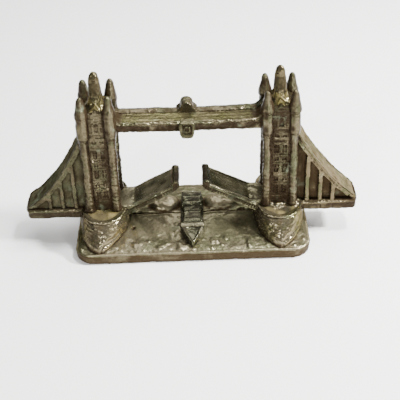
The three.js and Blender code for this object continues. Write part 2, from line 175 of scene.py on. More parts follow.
casting = dict(
    soften=5,  # rounds of smoothing after the mould is filled
    settle=2,  # and after the relief is pressed in
    grainSize=0.75,  # mm, small molten-looking lumps left by a soft mould
    grainDepth=0.11,
    swellSize=2.0,  # mm, slow waves in the surface
    swellDepth=0.1,
    narrowRounds=14,  # rounds of smoothing that bring out narrow hollows
    wideRounds=70,  # and more of them for wide ones
    footPress=0.12,  # mm over a flat foot that is pressed level with it
    leanFoot=8,  # mm over the floor, where a leaning piece starts to lean
    leanRun=30,  # mm of height over which it leans by its whole amount
)


def neighbourMean(values, edges, degree):
    total = np.zeros_like(values)
    for k in range(values.shape[1]):
        total[:, k] += np.bincount(edges[:, 0], values[edges[:, 1], k], len(values))
        total[:, k] += np.bincount(edges[:, 1], values[edges[:, 0], k], len(values))
    return total / degree[:, None]


def readPoints(mesh):
    points = np.empty(len(mesh.vertices) * 3)
    mesh.vertices.foreach_get("co", points)
    return points.reshape(-1, 3)


def readNormals(mesh):
    normals = np.empty(len(mesh.vertices) * 3)
    mesh.vertex_normals.foreach_get("vector", normals)
    return normals.reshape(-1, 3)


def writePoints(mesh, points):
    mesh.vertices.foreach_set("co", points.ravel())
    mesh.update()


def smoothed(points, edges, degree, rounds, share=0.6):
    for _ in range(rounds):
        points = points + share * (neighbourMean(points, edges, degree) - points)
    return points


def castPiece(name, mould, voxel, seed, relief=None, flatFoot=None, paint=None, lean=0, **changes):
    # Fills the mould, softens it, presses in the relief and roughens the skin.
    # flatFoot is the height of a base that stands flat, and lean is in mm at the top.
    recipe = {**casting, **changes}
    bmesh.ops.recalc_face_normals(mould, faces=mould.faces)
    raw = bpy.data.meshes.new(name + "_raw")
    mould.to_mesh(raw)
    mould.free()
    piece = bpy.data.objects.new(name, raw)
    bpy.context.scene.collection.objects.link(piece)
    remesh = piece.modifiers.new("fill", "REMESH")
    remesh.mode = "VOXEL"
    remesh.voxel_size = voxel * coarse
    filled = bpy.data.meshes.new_from_object(piece.evaluated_get(bpy.context.evaluated_depsgraph_get()))
    piece.modifiers.clear()
    piece.data = filled
    filled.name = name
    bpy.data.meshes.remove(raw)

    edges = np.empty(len(filled.edges) * 2, dtype=np.int64)
    filled.edges.foreach_get("vertices", edges)
    edges = edges.reshape(-1, 2)
    degree = np.bincount(edges.ravel(), minlength=len(filled.vertices)).astype(float)
    degree[degree == 0] = 1
    points = smoothed(readPoints(filled), edges, degree, recipe["soften"])
    writePoints(filled, points)
    if relief:
        points = relief(points, readNormals(filled))
        points = smoothed(points, edges, degree, recipe["settle"])
        writePoints(filled, points)
    normals = readNormals(filled)
    rise = recipe["grainDepth"] * roughLumps(points, recipe["grainSize"], seed)
    rise += recipe["swellDepth"] * lumps(points, recipe["swellSize"], seed + 11)
    points = points + normals * rise[:, None]
    if flatFoot is not None:
        points[:, 2] = np.where(points[:, 2] < flatFoot + recipe["footPress"], flatFoot, points[:, 2])
    points[:, 0] += lean * np.clip((points[:, 2] - recipe["leanFoot"]) / recipe["leanRun"], 0, 1.1)
    points[:, 0] = np.clip(points[:, 0], lowestMm[0], highestMm[0])
    points[:, 1] = np.clip(points[:, 1], lowestMm[1], highestMm[1])
    points[:, 2] = np.clip(points[:, 2], lowestMm[2], highestMm[2])
    writePoints(filled, points)

    # how deep each point lies in a hollow, in mm, narrow and wide hollows apart
    normals = readNormals(filled)
    narrow = smoothed(points, edges, degree, int(round(recipe["narrowRounds"] / coarse ** 2)))
    wide = smoothed(narrow, edges, degree, int(round(recipe["wideRounds"] / coarse ** 2)))
    for label, shape in (("hollowNarrow", narrow), ("hollowWide", wide)):
        layer = filled.attributes.new(label, "FLOAT", "POINT")
        layer.data.foreach_set("value", np.einsum("ij,ij->i", shape - points, normals))
    # where age and rubbing changed the metal, and where light and shade are painted in: 1 is pale, from
    # rubbing and painted highlights, -1 is dark, from age and painted shade
    wear = np.clip(paint(points, normals), -1, 1) if paint else np.zeros(len(points))
    layer = filled.attributes.new("wear", "FLOAT", "POINT")
    layer.data.foreach_set("value", wear)
    writePoints(filled, points * toMetres)
    filled.polygons.foreach_set("use_smooth", [True] * len(filled.polygons))
    return piece


def finishPiece(piece, material, slot, *nodes):
    piece.data.materials.clear()
    piece.data.materials.append(material)
    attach(piece, "root")
    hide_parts(*nodes)


# ---- camera, floor and lights

camera = dict(
    azimuth=0.1,  # degrees, from straight in front
    elevation=36.5,
    roll=-2.1,
    distance=0.1925,
    lens=81,
    target=(0.0018, 0, 0.0067),
)


def makeCamera():
    data = bpy.data.cameras.new("camera")
    data.lens = camera["lens"]
    data.sensor_width = 36
    data.clip_start = 0.005
    view = bpy.data.objects.new("camera", data)
    bpy.context.scene.collection.objects.link(view)
    lift, turn = math.radians(camera["elevation"]), math.radians(camera["azimuth"])
    back = Vector((math.sin(turn) * math.cos(lift), -math.cos(turn) * math.cos(lift), math.sin(lift)))
    aim = (-back).to_track_quat("-Z", "Y").to_matrix().to_4x4()
    tilt = Matrix.Rotation(math.radians(camera["roll"]), 4, "Z")
    place = Matrix.Translation(Vector(camera["target"]) + back * camera["distance"])
    view.matrix_world = place @ aim @ tilt
    bpy.context.scene.camera = view


def linear(code):
    # sRGB hex to linear colour
    parts = [int(code[i:i + 2], 16) / 255 for i in (1, 3, 5)]
    return tuple(p / 12.92 if p <= 0.04045 else ((p + 0.055) / 1.055) ** 2.4 for p in parts) + (1.0,)


studio = dict(
    floor="#f7f6f4",
    floorReach=1.2,  # m from the middle to each edge
    skyDark="#55575a",
    skyPale="#f0f1f2",
    skyStrength=0.62,
    lamps=(
        # name, place in mm, size in mm, watts
        ("key_softbox", (225, -25, 190), 32, 2.6),  # lights the right flanks
        ("top_softbox", (30, 120, 270), 240, 1.0),  # wide and weak, a sheen on what lies flat
        ("overhead_lamp", (90, 5, 240), 28, 0.9),  # glints along upper edges
        ("front_lamp", (90, -235, 60), 16, 0.3),  # small glints low on the front
        ("left_lamp", (-120, -210, 170), 22, 0.45),  # keeps the left flanks readable
    ),
)


def addNode(tree, kind, inputs=None, **settings):
    # adds one node: inputs are joined to another node's output or hold a value,
    # and settings name its properties or inputs
    node = tree.nodes.new(kind)
    for key, value in settings.items():
        if hasattr(node, key):
            setattr(node, key, value)
        else:
            node.inputs[key.replace("_", " ")].default_value = value
    for key, source in (inputs or {}).items():
        if isinstance(source, bpy.types.NodeSocket):
            tree.links.new(source, node.inputs[key])
        else:
            node.inputs[key].default_value = source
    return node


def makeStudio():
    reach = studio["floorReach"]
    mesh = bpy.data.meshes.new("floor")
    mesh.from_pydata(rectangle(-reach, reach, -reach, reach, 0), [], [(0, 1, 2, 3)])
    floor = bpy.data.objects.new("floor", mesh)
    bpy.context.scene.collection.objects.link(floor)
    paper = bpy.data.materials.new("matt white paper")
    paper.use_nodes = True
    skin = paper.node_tree.nodes["Principled BSDF"]
    skin.inputs["Base Color"].default_value = linear(studio["floor"])
    skin.inputs["Roughness"].default_value = 0.9
    mesh.materials.append(paper)
    world = bpy.data.worlds.new("soft room")
    world.use_nodes = True
    tree = world.node_tree
    sky = tree.nodes["Background"]
    sky.inputs["Strength"].default_value = studio["skyStrength"]
    # the room is paler on the right
    way = addNode(tree, "ShaderNodeTexCoord").outputs["Generated"]
    part = addNode(tree, "ShaderNodeSeparateXYZ", {0: way}).outputs[0]
    side = addNode(tree, "ShaderNodeMapRange", {"Value": part}, interpolation_type="SMOOTHSTEP",
                   From_Min=-0.6, From_Max=0.7)
    wall = addNode(tree, "ShaderNodeMix", {0: side.outputs[0], 6: linear(studio["skyDark"]),
                                           7: linear(studio["skyPale"])}, data_type="RGBA")
    tree.links.new(wall.outputs[2], sky.inputs["Color"])
    bpy.context.scene.world = world
    for name, place, width, power in studio["lamps"]:
        lamp = bpy.data.lights.new(name, "AREA")
        lamp.size = width * toMetres
        lamp.energy = power
        holder = bpy.data.objects.new(name, lamp)
        bpy.context.scene.collection.objects.link(holder)
        spot = Vector(place) * toMetres
        aim = (Vector((0, 0, 0.012)) - spot).to_track_quat("-Z", "Y").to_matrix().to_4x4()
        holder.matrix_world = Matrix.Translation(spot) @ aim


# ---- metal

def millimetres(size):
    # noise scale whose lumps are about this many mm across
    return 1 / (size * toMetres)


pewterSkin = dict(
    patches=5.5,  # mm across the drifts of tarnish
    mottle=0.9,  # mm across the small blotches
    grit=0.28,  # mm; real mould grit is under 0.1 mm, drawn coarser so that it shows
    molten=0.75,  # mm across the smooth lumps
    bloom=2.6,  # mm across the green corrosion
    cornerReach=1.3,  # mm that grime creeps out of a corner
    green="#7f8a72",
    edgeTint="#8f897a",  # old metal stays dark where seen edge on
)


def agedPewter(name, clean, tarnish, grime, worn, greening=0.0, roughness=0.4, hollows=0.7, relief=0.2,
               bareness=0.85, shine=0.15):
    # Cast pewter: soft grey metal, darkened by age in its hollows and rubbed bright on its ridges.
    # hollows is how much grime the dips hold, relief is the height in mm of the molten lumps,
    # bareness is how metallic the clean parts are, and shine is what the dry parts still reflect.
    metal = bpy.data.materials.new(name)
    metal.use_nodes = True
    tree = metal.node_tree
    skin = tree.nodes["Principled BSDF"]
    place = addNode(tree, "ShaderNodeTexCoord").outputs["Object"]
    narrow = addNode(tree, "ShaderNodeAttribute", attribute_name="hollowNarrow").outputs["Fac"]
    wide = addNode(tree, "ShaderNodeAttribute", attribute_name="hollowWide").outputs["Fac"]
    wear = addNode(tree, "ShaderNodeAttribute", attribute_name="wear").outputs["Fac"]
    corner = addNode(tree, "ShaderNodeAmbientOcclusion", samples=6,
                     Distance=pewterSkin["cornerReach"] * toMetres).outputs["AO"]
    patches, mottle, grit, molten, bloom = (
        addNode(tree, "ShaderNodeTexNoise", {"Vector": place}, Scale=millimetres(pewterSkin[kind]),
                Detail=detail).outputs["Fac"]
        for kind, detail in (("patches", 3.0), ("mottle", 4.0), ("grit", 2.0), ("molten", 1.0),
                             ("bloom", 3.0)))

    # tarnish drifts over the metal in patches
    drift = addNode(tree, "ShaderNodeMath", {0: patches, 1: 1.6, 2: mottle},
                    operation="MULTIPLY_ADD").outputs[0]
    tone = addNode(tree, "ShaderNodeMapRange", {"Value": drift}, interpolation_type="SMOOTHSTEP",
                   From_Min=1.2, From_Max=1.5).outputs[0]
    base = addNode(tree, "ShaderNodeMix", {0: tone, 6: linear(clean), 7: linear(tarnish)},
                   data_type="RGBA").outputs[2]

    # fine speckle left by the mould
    fleck = addNode(tree, "ShaderNodeMapRange", {"Value": grit}, From_Min=0.3, From_Max=0.7, To_Min=0.72,
                    To_Max=1.18).outputs[0]
    speckled = addNode(tree, "ShaderNodeVectorMath", {0: base, "Scale": fleck}, operation="SCALE").outputs[0]

    # grime sits in hollows, and where pieces meet; dark wear, which also holds painted shade, darkens the
    # same way
    narrowDips = addNode(tree, "ShaderNodeMath", {0: narrow, 1: 9.0 * hollows},
                         operation="MULTIPLY").outputs[0]
    dips = addNode(tree, "ShaderNodeMath", {0: wide, 1: 3.5 * hollows, 2: narrowDips},
                   operation="MULTIPLY_ADD").outputs[0]
    held = addNode(tree, "ShaderNodeMath", {0: dips, 1: -0.2}, operation="MAXIMUM").outputs[0]
    shut = addNode(tree, "ShaderNodeMath", {0: 0.8, 1: corner}, operation="SUBTRACT").outputs[0]
    lodged = addNode(tree, "ShaderNodeMath", {0: shut, 1: held}, operation="ADD").outputs[0]
    settled = addNode(tree, "ShaderNodeMath", {0: wear, 1: -1.3, 2: lodged},
                      operation="MULTIPLY_ADD").outputs[0]
    blotch = addNode(tree, "ShaderNodeMath", {0: mottle, 1: 0.9, 2: settled},
                     operation="MULTIPLY_ADD").outputs[0]
    grimeAndShade = addNode(tree, "ShaderNodeMapRange", {"Value": blotch}, interpolation_type="SMOOTHSTEP",
                   From_Min=0.15, From_Max=1.2).outputs[0]
    grimed = addNode(tree, "ShaderNodeMix", {0: grimeAndShade, 6: speckled, 7: linear(grime)},
                     data_type="RGBA").outputs[2]

    # ridges, and places that are touched, are rubbed paler; pale wear, which also holds painted highlights,
    # pales the same way
    touched = addNode(tree, "ShaderNodeMath", {0: dips, 1: -0.2, 2: wear},
                      operation="MULTIPLY_ADD").outputs[0]
    rubAndHighlight = addNode(tree, "ShaderNodeMapRange", {"Value": touched}, interpolation_type="SMOOTHSTEP",
                  From_Min=0.1, From_Max=1.0, To_Max=0.85).outputs[0]
    colour = addNode(tree, "ShaderNodeMix", {0: rubAndHighlight, 6: grimed, 7: linear(worn)},
                     data_type="RGBA").outputs[2]

    # pale green corrosion in patches
    spread = addNode(tree, "ShaderNodeMapRange", {"Value": bloom}, interpolation_type="SMOOTHSTEP",
                     From_Min=0.6, From_Max=0.78, To_Max=greening).outputs[0]
    greened = addNode(tree, "ShaderNodeMix", {0: spread, 6: colour, 7: linear(pewterSkin["green"])},
                      data_type="RGBA").outputs[2]
    tree.links.new(greened, skin.inputs["Base Color"])

    # bare metal where rubbed, less metallic where grime and painted shade lie, and under the dry film left by
    # handling, which also lies where highlights are painted
    bare = addNode(tree, "ShaderNodeMapRange", {"Value": grimeAndShade}, To_Min=bareness,
                   To_Max=0.26 * bareness).outputs[0]
    film = addNode(tree, "ShaderNodeMapRange", {"Value": wear}, From_Min=0.2, From_Max=0.9, To_Min=1.0,
                   To_Max=0.45).outputs[0]
    metallic = addNode(tree, "ShaderNodeMath", {0: bare, 1: film}, operation="MULTIPLY").outputs[0]
    tree.links.new(metallic, skin.inputs["Metallic"])
    dull = addNode(tree, "ShaderNodeMath", {0: grimeAndShade, 1: 0.14, 2: roughness},
                   operation="MULTIPLY_ADD").outputs[0]
    rough = addNode(tree, "ShaderNodeMath", {0: mottle, 1: 0.1, 2: dull},
                    operation="MULTIPLY_ADD").outputs[0]
    tree.links.new(rough, skin.inputs["Roughness"])
    skin.inputs["Specular IOR Level"].default_value = shine  # the grime is dry
    skin.inputs["Specular Tint"].default_value = linear(pewterSkin["edgeTint"])

    # the skin looks as if it had just set: small smooth lumps, with only a trace of grit
    grain = addNode(tree, "ShaderNodeBump", {"Height": grit}, Strength=0.2,
                    Distance=0.05 * toMetres).outputs[0]
    skinRelief = addNode(tree, "ShaderNodeBump", {"Height": molten, "Normal": grain}, Strength=1.0,
                         Distance=relief * toMetres).outputs[0]
    tree.links.new(skinRelief, skin.inputs["Normal"])
    return metal


makeCamera()
makeStudio()
print("studio ready")

# dull grey-green water, fairly rough, so that it gleams softly
riverMetal = agedPewter("cast pewter, river green-grey", "#736c56", "#605f47", "#382d1d", "#887e64",
                        greening=0.25, roughness=0.31, hollows=0.4, relief=0.12)
# handled most: smooth, golden where rubbed, with sharp glints
pierMetal = agedPewter("cast pewter, rubbed", "#6b634f", "#565339", "#31271a", "#8f8052", greening=0.2,
                       roughness=0.15, hollows=0.4, relief=0.13)
# brown between the storeys, with glints on the raised stonework
towerMetal = agedPewter("cast pewter, brown in the hollows", "#554e3c", "#454532", "#2a2116", "#736a51",
                        greening=0.4, roughness=0.16, hollows=0.5, relief=0.17, bareness=0.7)
# dark spires over a yellow-olive foot
roofMetal = agedPewter("cast pewter, olive tarnish", "#524a37", "#494431", "#2a2417", "#7c713f",
                       greening=0.15, roughness=0.18, hollows=0.5, relief=0.12)
# an even yellow-grey deck
walkwayMetal = agedPewter("cast pewter, yellowed", "#625c42", "#555336", "#2a2114", "#807754", greening=0.35,
                          roughness=0.21, hollows=0.5, relief=0.12)
# the left span is greener and duller than the right one
spanMetals = dict(
    left=agedPewter("cast pewter, dull green", "#514a38", "#454432", "#2c2419", "#6e664e", greening=0.35,
                    roughness=0.18, hollows=0.4, relief=0.14, bareness=0.6),
    right=agedPewter("cast pewter, dull", "#564d3a", "#43442f", "#281f14", "#7d7257", greening=0.35,
                     roughness=0.18, hollows=0.5, relief=0.14),
)
# the backs of the chains are dry and have no gleam, green on the left and sandy on the right; the left one is
# also painted darker as shade, and the right one paler as lit
chainMetals = dict(
    left=agedPewter("cast pewter, dry green, painted shade", "#4e4a38", "#424433", "#2e281c", "#6b634b", greening=0.25,
                    roughness=0.3, hollows=0.4, relief=0.14, bareness=0.0, shine=0.0),
    right=agedPewter("cast pewter, dry sandy, painted light", "#625843", "#524e39", "#33291c", "#7a6f56", greening=0.2,
                     roughness=0.26, hollows=0.4, relief=0.16, bareness=0.15, shine=0.0),
)
# dark green-grey roads
leafMetal = agedPewter("cast pewter, dark", "#5b5742", "#494c3a", "#2a2318", "#777059", greening=0.3,
                       roughness=0.21, hollows=0.45, relief=0.1)
# cold grey, with small bright glints
boatMetal = agedPewter("cast pewter, grey", "#565443", "#47493a", "#26211a", "#807a63", roughness=0.16,
                       hollows=0.5, relief=0.11)


# ---- river plinth

river = dict(
    crown=0.9,  # mm that the water rises towards the middle
    ripple=0.28,
    pebble=0.36,  # small round lumps, like spilt metal
    lip=0.16,
    crack=0.55,  # depth of the parting line between the piers
    pierX=15.5,  # mm from the middle to where the folds in the water start
    humps=((-6.0, 3.9, 3.3, 2.9, 1.7), (6.4, 4.3, 3.9, 3.0, 1.7)),  # x, y, half width, half depth, rise
    pits=((10.6, 0.9, 0.9, 0.7), (-12.6, -4.0, 0.5, 0.6)),  # x, y, radius, depth
)


def plinthOutline(inset, z):
    # the plinth's rounded plan, drawn in by inset
    ring = []
    radius = 4.0 - inset
    halfX, halfY = plinthHi[0] - inset, plinthHi[1] - inset
    for corner in range(4):
        signX, signY = ((1, -1), (1, 1), (-1, 1), (-1, -1))[corner]
        for step in range(10):
            t = math.radians(-90 + 90 * corner + 90 * step / 9)
            ring.append((signX * (halfX - radius) + radius * math.cos(t),
                         signY * (halfY - radius) + radius * math.sin(t), z))
    return ring


def partingLine(points):
    # y of the crack that runs from pier to pier
    x = points[:, 0]
    return 0.65 + 0.45 * lumps(np.column_stack([x, x * 0, x * 0]), 4.0, 5)


def riverSurface(points, normals):
    x, y, z = points.T
    top = fade(0.45, 0.8, normals[:, 2]) * fade(1.5, 2.0, z)
    edge = np.minimum(plinthHi[0] - np.abs(x), plinthHi[1] - np.abs(y))
    inside = fade(0.4, 1.5, edge)
    flow = np.column_stack([x * 0.7 + 0.8 * lumps(points, 5.0, 3), y, z * 0])
    waves = 0.5 * roughLumps(flow, 2.8, 21) + 0.6 * (0.5 - np.abs(roughLumps(flow, 3.2, 31)))
    height = river["crown"] * np.clip(1 - np.abs(y) / plinthHi[1], 0, 1) ** 0.9 * inside
    height += river["ripple"] * waves * inside
    flat = np.column_stack([x, y, z * 0])
    crowd = np.clip(0.7 * fade(-0.3, 0.6, lumps(flat, 3.4, 43)) + 0.8 * bump(y, -9.4, 1.6, 2.0), 0, 1.2)
    height += river["pebble"] * np.clip(lumps(flat, 0.95, 41) * 1.8 - 0.4, 0, 1) * crowd * inside
    height += 0.05 * lumps(flat, 0.6, 47) * inside
    between = bump(x, 0, 13.8, 1.5)
    line = partingLine(points)
    height += 0.35 * bump(y, line - 0.62, 0.2, 0.35) * between
    for cx, cy, wide, deep, rise in river["humps"]:
        far = ((x - cx) / wide) ** 2 + ((y - cy) / deep) ** 2
        streaks = lumps(np.column_stack([x + 0.4 * y, y * 0.25, z * 0]), 0.9, 51)
        height += rise * np.sqrt(np.clip(1 - far, 0, 1)) * (1 + 0.16 * streaks)
    height -= river["crack"] * bump(y, line, 0.24, 0.4) * between
    for cx, cy, radius, depth in river["pits"]:
        height -= depth * (1 - fade(0.4, 1.0, np.hypot(x - cx, y - cy) / radius))
    height += river["lip"] * bump(edge, 0.4, 0.22, 0.35)
    # folds that fan out from the left pier
    turn = np.arctan2(y - 1.0, x + river["pierX"])
    reach = np.hypot(x + river["pierX"], y - 1.0)
    fan = bump(turn, -0.72, 0.55, 0.5) * fade(3.0, 5.0, reach) * (1 - fade(9.0, 12.0, reach))
    height += 0.14 * np.sin(turn * 14 + 0.4 * reach) * fan * inside
    points = points.copy()
    points[:, 2] += height * top
    # a groove runs round the plinth's edge
    side = 1 - fade(0.3, 0.6, np.abs(normals[:, 2]))
    draw = 0.14 * bump(z, 0.55, 0.12, 0.3) - 0.06 * bump(z, 1.95, 0.15, 0.3) + 0.05 * lumps(points, 1.5, 53)
    points -= normals * (draw * side)[:, None]
    return points


def riverWearAndLight(points, normals):
    x, y, z = points.T
    between = bump(x, 0, 13.8, 1.5)
    # painted shade along the parting line's crack
    wear = -1.0 * bump(y, partingLine(points), 0.3, 0.4) * between * (0.7 + 0.5 * lumps(points, 1.2, 58))
    # the pits are painted dark, as painted shade in them
    for cx, cy, radius, depth in river["pits"]:
        wear -= 1.3 * (1 - fade(0.6, 1.1, np.hypot(x - cx, y - cy) / radius))
    for cx, cy, wide, deep, rise in river["humps"]:
        far = np.hypot((x - cx) / wide, (y - cy) / deep)
        wear += 0.4 * (1 - fade(0.75, 1.0, far))
    # the sides are painted darker than the top
    wear -= (0.9 + 0.5 * lumps(points, 2.5, 57)) * (1 - fade(0.3, 0.7, np.abs(normals[:, 2])))
    edge = np.minimum(plinthHi[0] - np.abs(x), plinthHi[1] - np.abs(y))
    # a painted highlight along the plinth's top edge
    rim = bump(edge, 0.4, 0.25, 0.3) * fade(0.4, 0.7, normals[:, 2])
    water = bump(np.abs(x), 7, 8, 4) * bump(y, -3.5, 4.0, 3)  # upward faces are painted a little lighter, and the open water between the piers more, as painted light lifting the shade of the piers and leaves
    return wear + 0.5 * rim + (0.1 + 0.3 * water) * fade(0.5, 0.8, normals[:, 2])


def makeRiver():
    mould = bmesh.new()
    steps = ((0.5, 0), (0.2, 0.16), (0.12, 0.5), (0.16, 1.3), (0.1, 1.8), (0.22, 2.1), (0.6, 2.25))
    loft(mould, [plinthOutline(inset, z) for inset, z in steps])
    piece = castPiece("river_casting", mould, 0.17, 1, riverSurface, flatFoot=0, paint=riverWearAndLight,
                      grainDepth=0.06, soften=4)
    finishPiece(piece, riverMetal, "plinth_pewter", "river_plinth")


# ---- piers

pier = dict(
    footWidth=9.8,
    belly=0.5,  # mm that the flanks swell at mid height
    drawMarks=0.7,  # mm between the marks left round the flanks
    skew=dict(left=-1.1, right=-0.2),  # mm that the nose is set off the middle at its foot
    # solder beads: mm to the right of the tower's middle, mm in front of its wall, radius
    beads=dict(
        left=((-2.2, -0.1, 0.4), (-1.3, -0.3, 0.45), (-0.5, -0.1, 0.5), (0.3, -0.3, 0.5), (1.1, -0.1, 0.5),
              (3.3, 0.2, 0.6), (-3.5, 0.6, 0.4)),
        right=((-2.4, 0.1, 0.7), (-1.7, -0.5, 0.85), (-0.7, -0.8, 0.9), (0.2, -0.4, 0.8), (1.2, 0.0, 0.6),
               (3.2, 0.0, 0.9), (3.9, 1.2, 0.7), (-3.6, 1.2, 0.7)),
    ),
)


def makePier(side, sign):
    lo, hi = boxMm("pier_" + side)
    x = (lo[0] + hi[0]) / 2
    copingLo, copingHi = boxMm("pier_coping_" + side)
    topW, topD = (copingHi[0] - copingLo[0]) / 2, (copingHi[1] - copingLo[1]) / 2
    mould = bmesh.new()
    rings = []
    for i in range(11):
        t = i / 10
        swell = math.sin(math.pi * t) * pier["belly"]

        def reach(turn, t=t, swell=swell):
            foot = cutwaterReach(turn, pier["footWidth"] / 2, hi[1])
            head = ovalReach(turn, topW - 0.05, topD - 0.08)
            return foot + (head - foot) * t ** 1.5 + swell

        rings.append(reachRing(x, 0, 2.0 + (copingLo[2] + 0.3 - 2.0) * t, reach))
    loft(mould, rings)

    def flank(points, normals):
        px, py, pz = points.T
        # draw marks run round the flanks, and one long rounded ridge climbs to the right of the nose
        noise = lumps(points, 1.5, 7)
        rise = 0.02 * np.sin(pz * 2 * math.pi / pier["drawMarks"] + 2.5 * noise)
        rise += 0.06 * roughLumps(points * (1, 1, 2), 2.2, 15)
        climb = pz - 2.9 - 0.3 * (hi[1] - np.abs(py))
        rise += 0.3 * bump(climb, 0, 0.4, 0.7) * fade(0.2, 0.8, px - x) * fade(7.0, 8.0, np.abs(py))
        rise -= 0.12 * bump(climb, 1.0, 0.3, 0.5) * fade(0.2, 0.8, px - x)
        points = points + normals * rise[:, None]
        points[:, 0] += pier["skew"][side] * fade(3, 10, np.abs(py)) * (1 - fade(2.0, 6.5, pz))
        return points

    def flankLightAndGrime(points, normals):
        # the right flank is painted lighter, as lit, the left darker, as in shade, and grime lies along the
        # waterline
        right = fade(-0.2, 0.6, normals[:, 0])
        waterline = bump(points[:, 2], 2.6, 0.5, 0.5)
        return 0.3 * right - 0.3 * (1 - right) + 0.25 * roughLumps(points, 2.0, 8) - 0.5 * waterline

    piece = castPiece("pier_casting_" + side, mould, 0.14, 40 + sign, flank, paint=flankLightAndGrime, soften=6,
                      grainDepth=0.06, swellDepth=0.14)
    finishPiece(piece, pierMetal, "pier_pewter", "pier_" + side)

    mould = bmesh.new()
    rings = []
    for inset, z in ((0.4, copingLo[2] - 0.2), (0.1, copingLo[2] + 0.05), (-0.1, copingHi[2] - 0.3),
                     (-0.1, copingHi[2] + 0.05), (0.1, copingHi[2] + 0.18), (0.35, copingHi[2] + 0.14),
                     (0.7, copingHi[2] - 0.05)):
        rings.append(oval(x, 0, z, topW - inset, topD - inset))
    loft(mould, rings)
    # beads of solder along the foot of the tower
    towerFront = boxMm("tower_" + side)[0][1]
    for dx, dy, size in pier["beads"][side]:
        spot = (x + dx, towerFront + dy, copingHi[2])
        blob(mould, spot, (size, size * 0.8, size * (1.1 if sign > 0 else 0.75)))
        blob(mould, (spot[0], -spot[1], spot[2]), (size, size * 0.8, size * 0.5))

    def ledgeWearAndLight(points, normals):
        # flat tops keep a golden rubbed look; the coping is painted darker below its top, as shade under the
        # lip, and its rim lighter, as a painted highlight
        px, py, pz = points.T
        reach = np.hypot((px - x) / (topW - 0.45), py / (topD - 0.75))
        flat = fade(0.5, 0.9, normals[:, 2]) * (1 - fade(0.93, 1.0, reach))
        under = fade(copingHi[2] - 0.1, copingHi[2] - 0.3, pz)
        rim = bump(reach, 1.04, 0.06, 0.06) * fade(0.2, 0.6, normals[:, 2])
        return flat * (0.55 - 0.15 * sign + 0.45 * lumps(points, 1.4, 9)) - 0.35 * under + 0.3 * rim

    piece = castPiece("pier_coping_casting_" + side, mould, 0.12, 50 + sign, paint=ledgeWearAndLight)
    finishPiece(piece, pierMetal, "pier_pewter", "pier_coping_" + side)


# ---- towers

# courses: middle height, height and depth in mm; they stand out from the wall
courses = ((9.9, 0.3, 0.12), (13.1, 0.3, 0.16), (15.4, 0.35, 0.18), (18.2, 0.3, 0.18), (20.0, 0.35, 0.2),
           (22.9, 0.3, 0.16), (23.9, 0.25, 0.14), (25.3, 0.25, 0.16), (26.4, 0.35, 0.24))
# window pairs: middle height and height in mm
windowPairs = ((11.6, 1.9), (14.3, 1.0), (16.9, 1.9), (19.1, 0.8), (21.5, 1.9), (24.6, 0.6))
tower = dict(
    wear=dict(left=0.65, right=1.15),  # how much of the relief is left on each tower
    lean=dict(left=0.4, right=-0.1),  # mm that the tops were soldered out of plumb
    ribs=0.62,  # mm between the fine rows of stonework
)


def towerFace(points, normals, centre, axis, keep, seed):
    # presses the storeys into the two walls that face along the axis, 0 for X and 1 for Y
    wander = 0.16 * lumps(points, 1.8, seed)
    across = points[:, 1 - axis] - centre[1 - axis] + wander
    z = points[:, 2] + 0.14 * lumps(points, 1.5, seed + 1)
    wall = fade(0.5, 0.8, np.abs(normals[:, axis]))
    panel = 1 - fade(1.5, 1.85, np.abs(across))
    rise = 0.07 * np.sin(z * 2 * math.pi / tower["ribs"]) * fade(-0.5, 0.3, lumps(points, 1.6, seed + 2))
    for middle, height, depth in courses:
        rise += depth * bump(z, middle, height / 2, 0.25)
    for middle, height in windowPairs:
        for shift in (-0.8, 0.8):
            frameShape = bump(across, shift, 0.62, 0.2) * bump(z, middle, height / 2 + 0.2, 0.25)
            hole = bump(across, shift, 0.46, 0.2) * bump(z, middle, height / 2, 0.25)
            bar = bump(z, middle + 0.15, 0.12, 0.12) + bump(across, shift, 0.09, 0.1)
            rise += 0.16 * frameShape - 0.5 * hole + 0.3 * hole * np.clip(bar, 0, 1)
        rise += 0.14 * bump(across, 0, 1.6, 0.2) * bump(z, middle + height / 2 + 0.45, 0.12, 0.16)
    # one round-headed window at the top under a hood
    arch = np.hypot(across / 0.75, np.maximum(z - 28.4, 0) / 0.75)
    rise += 0.25 * (1 - fade(1.0, 1.3, arch)) * fade(26.7, 26.9, z) * (1 - fade(29.5, 29.9, z))
    rise -= 0.45 * (1 - fade(0.45, 0.75, arch)) * bump(z, 28.0, 1.1, 0.3)
    rise *= keep * (0.75 + 0.5 * lumps(points, 1.2, seed + 4))
    return points + normals * (rise * wall * panel)[:, None]


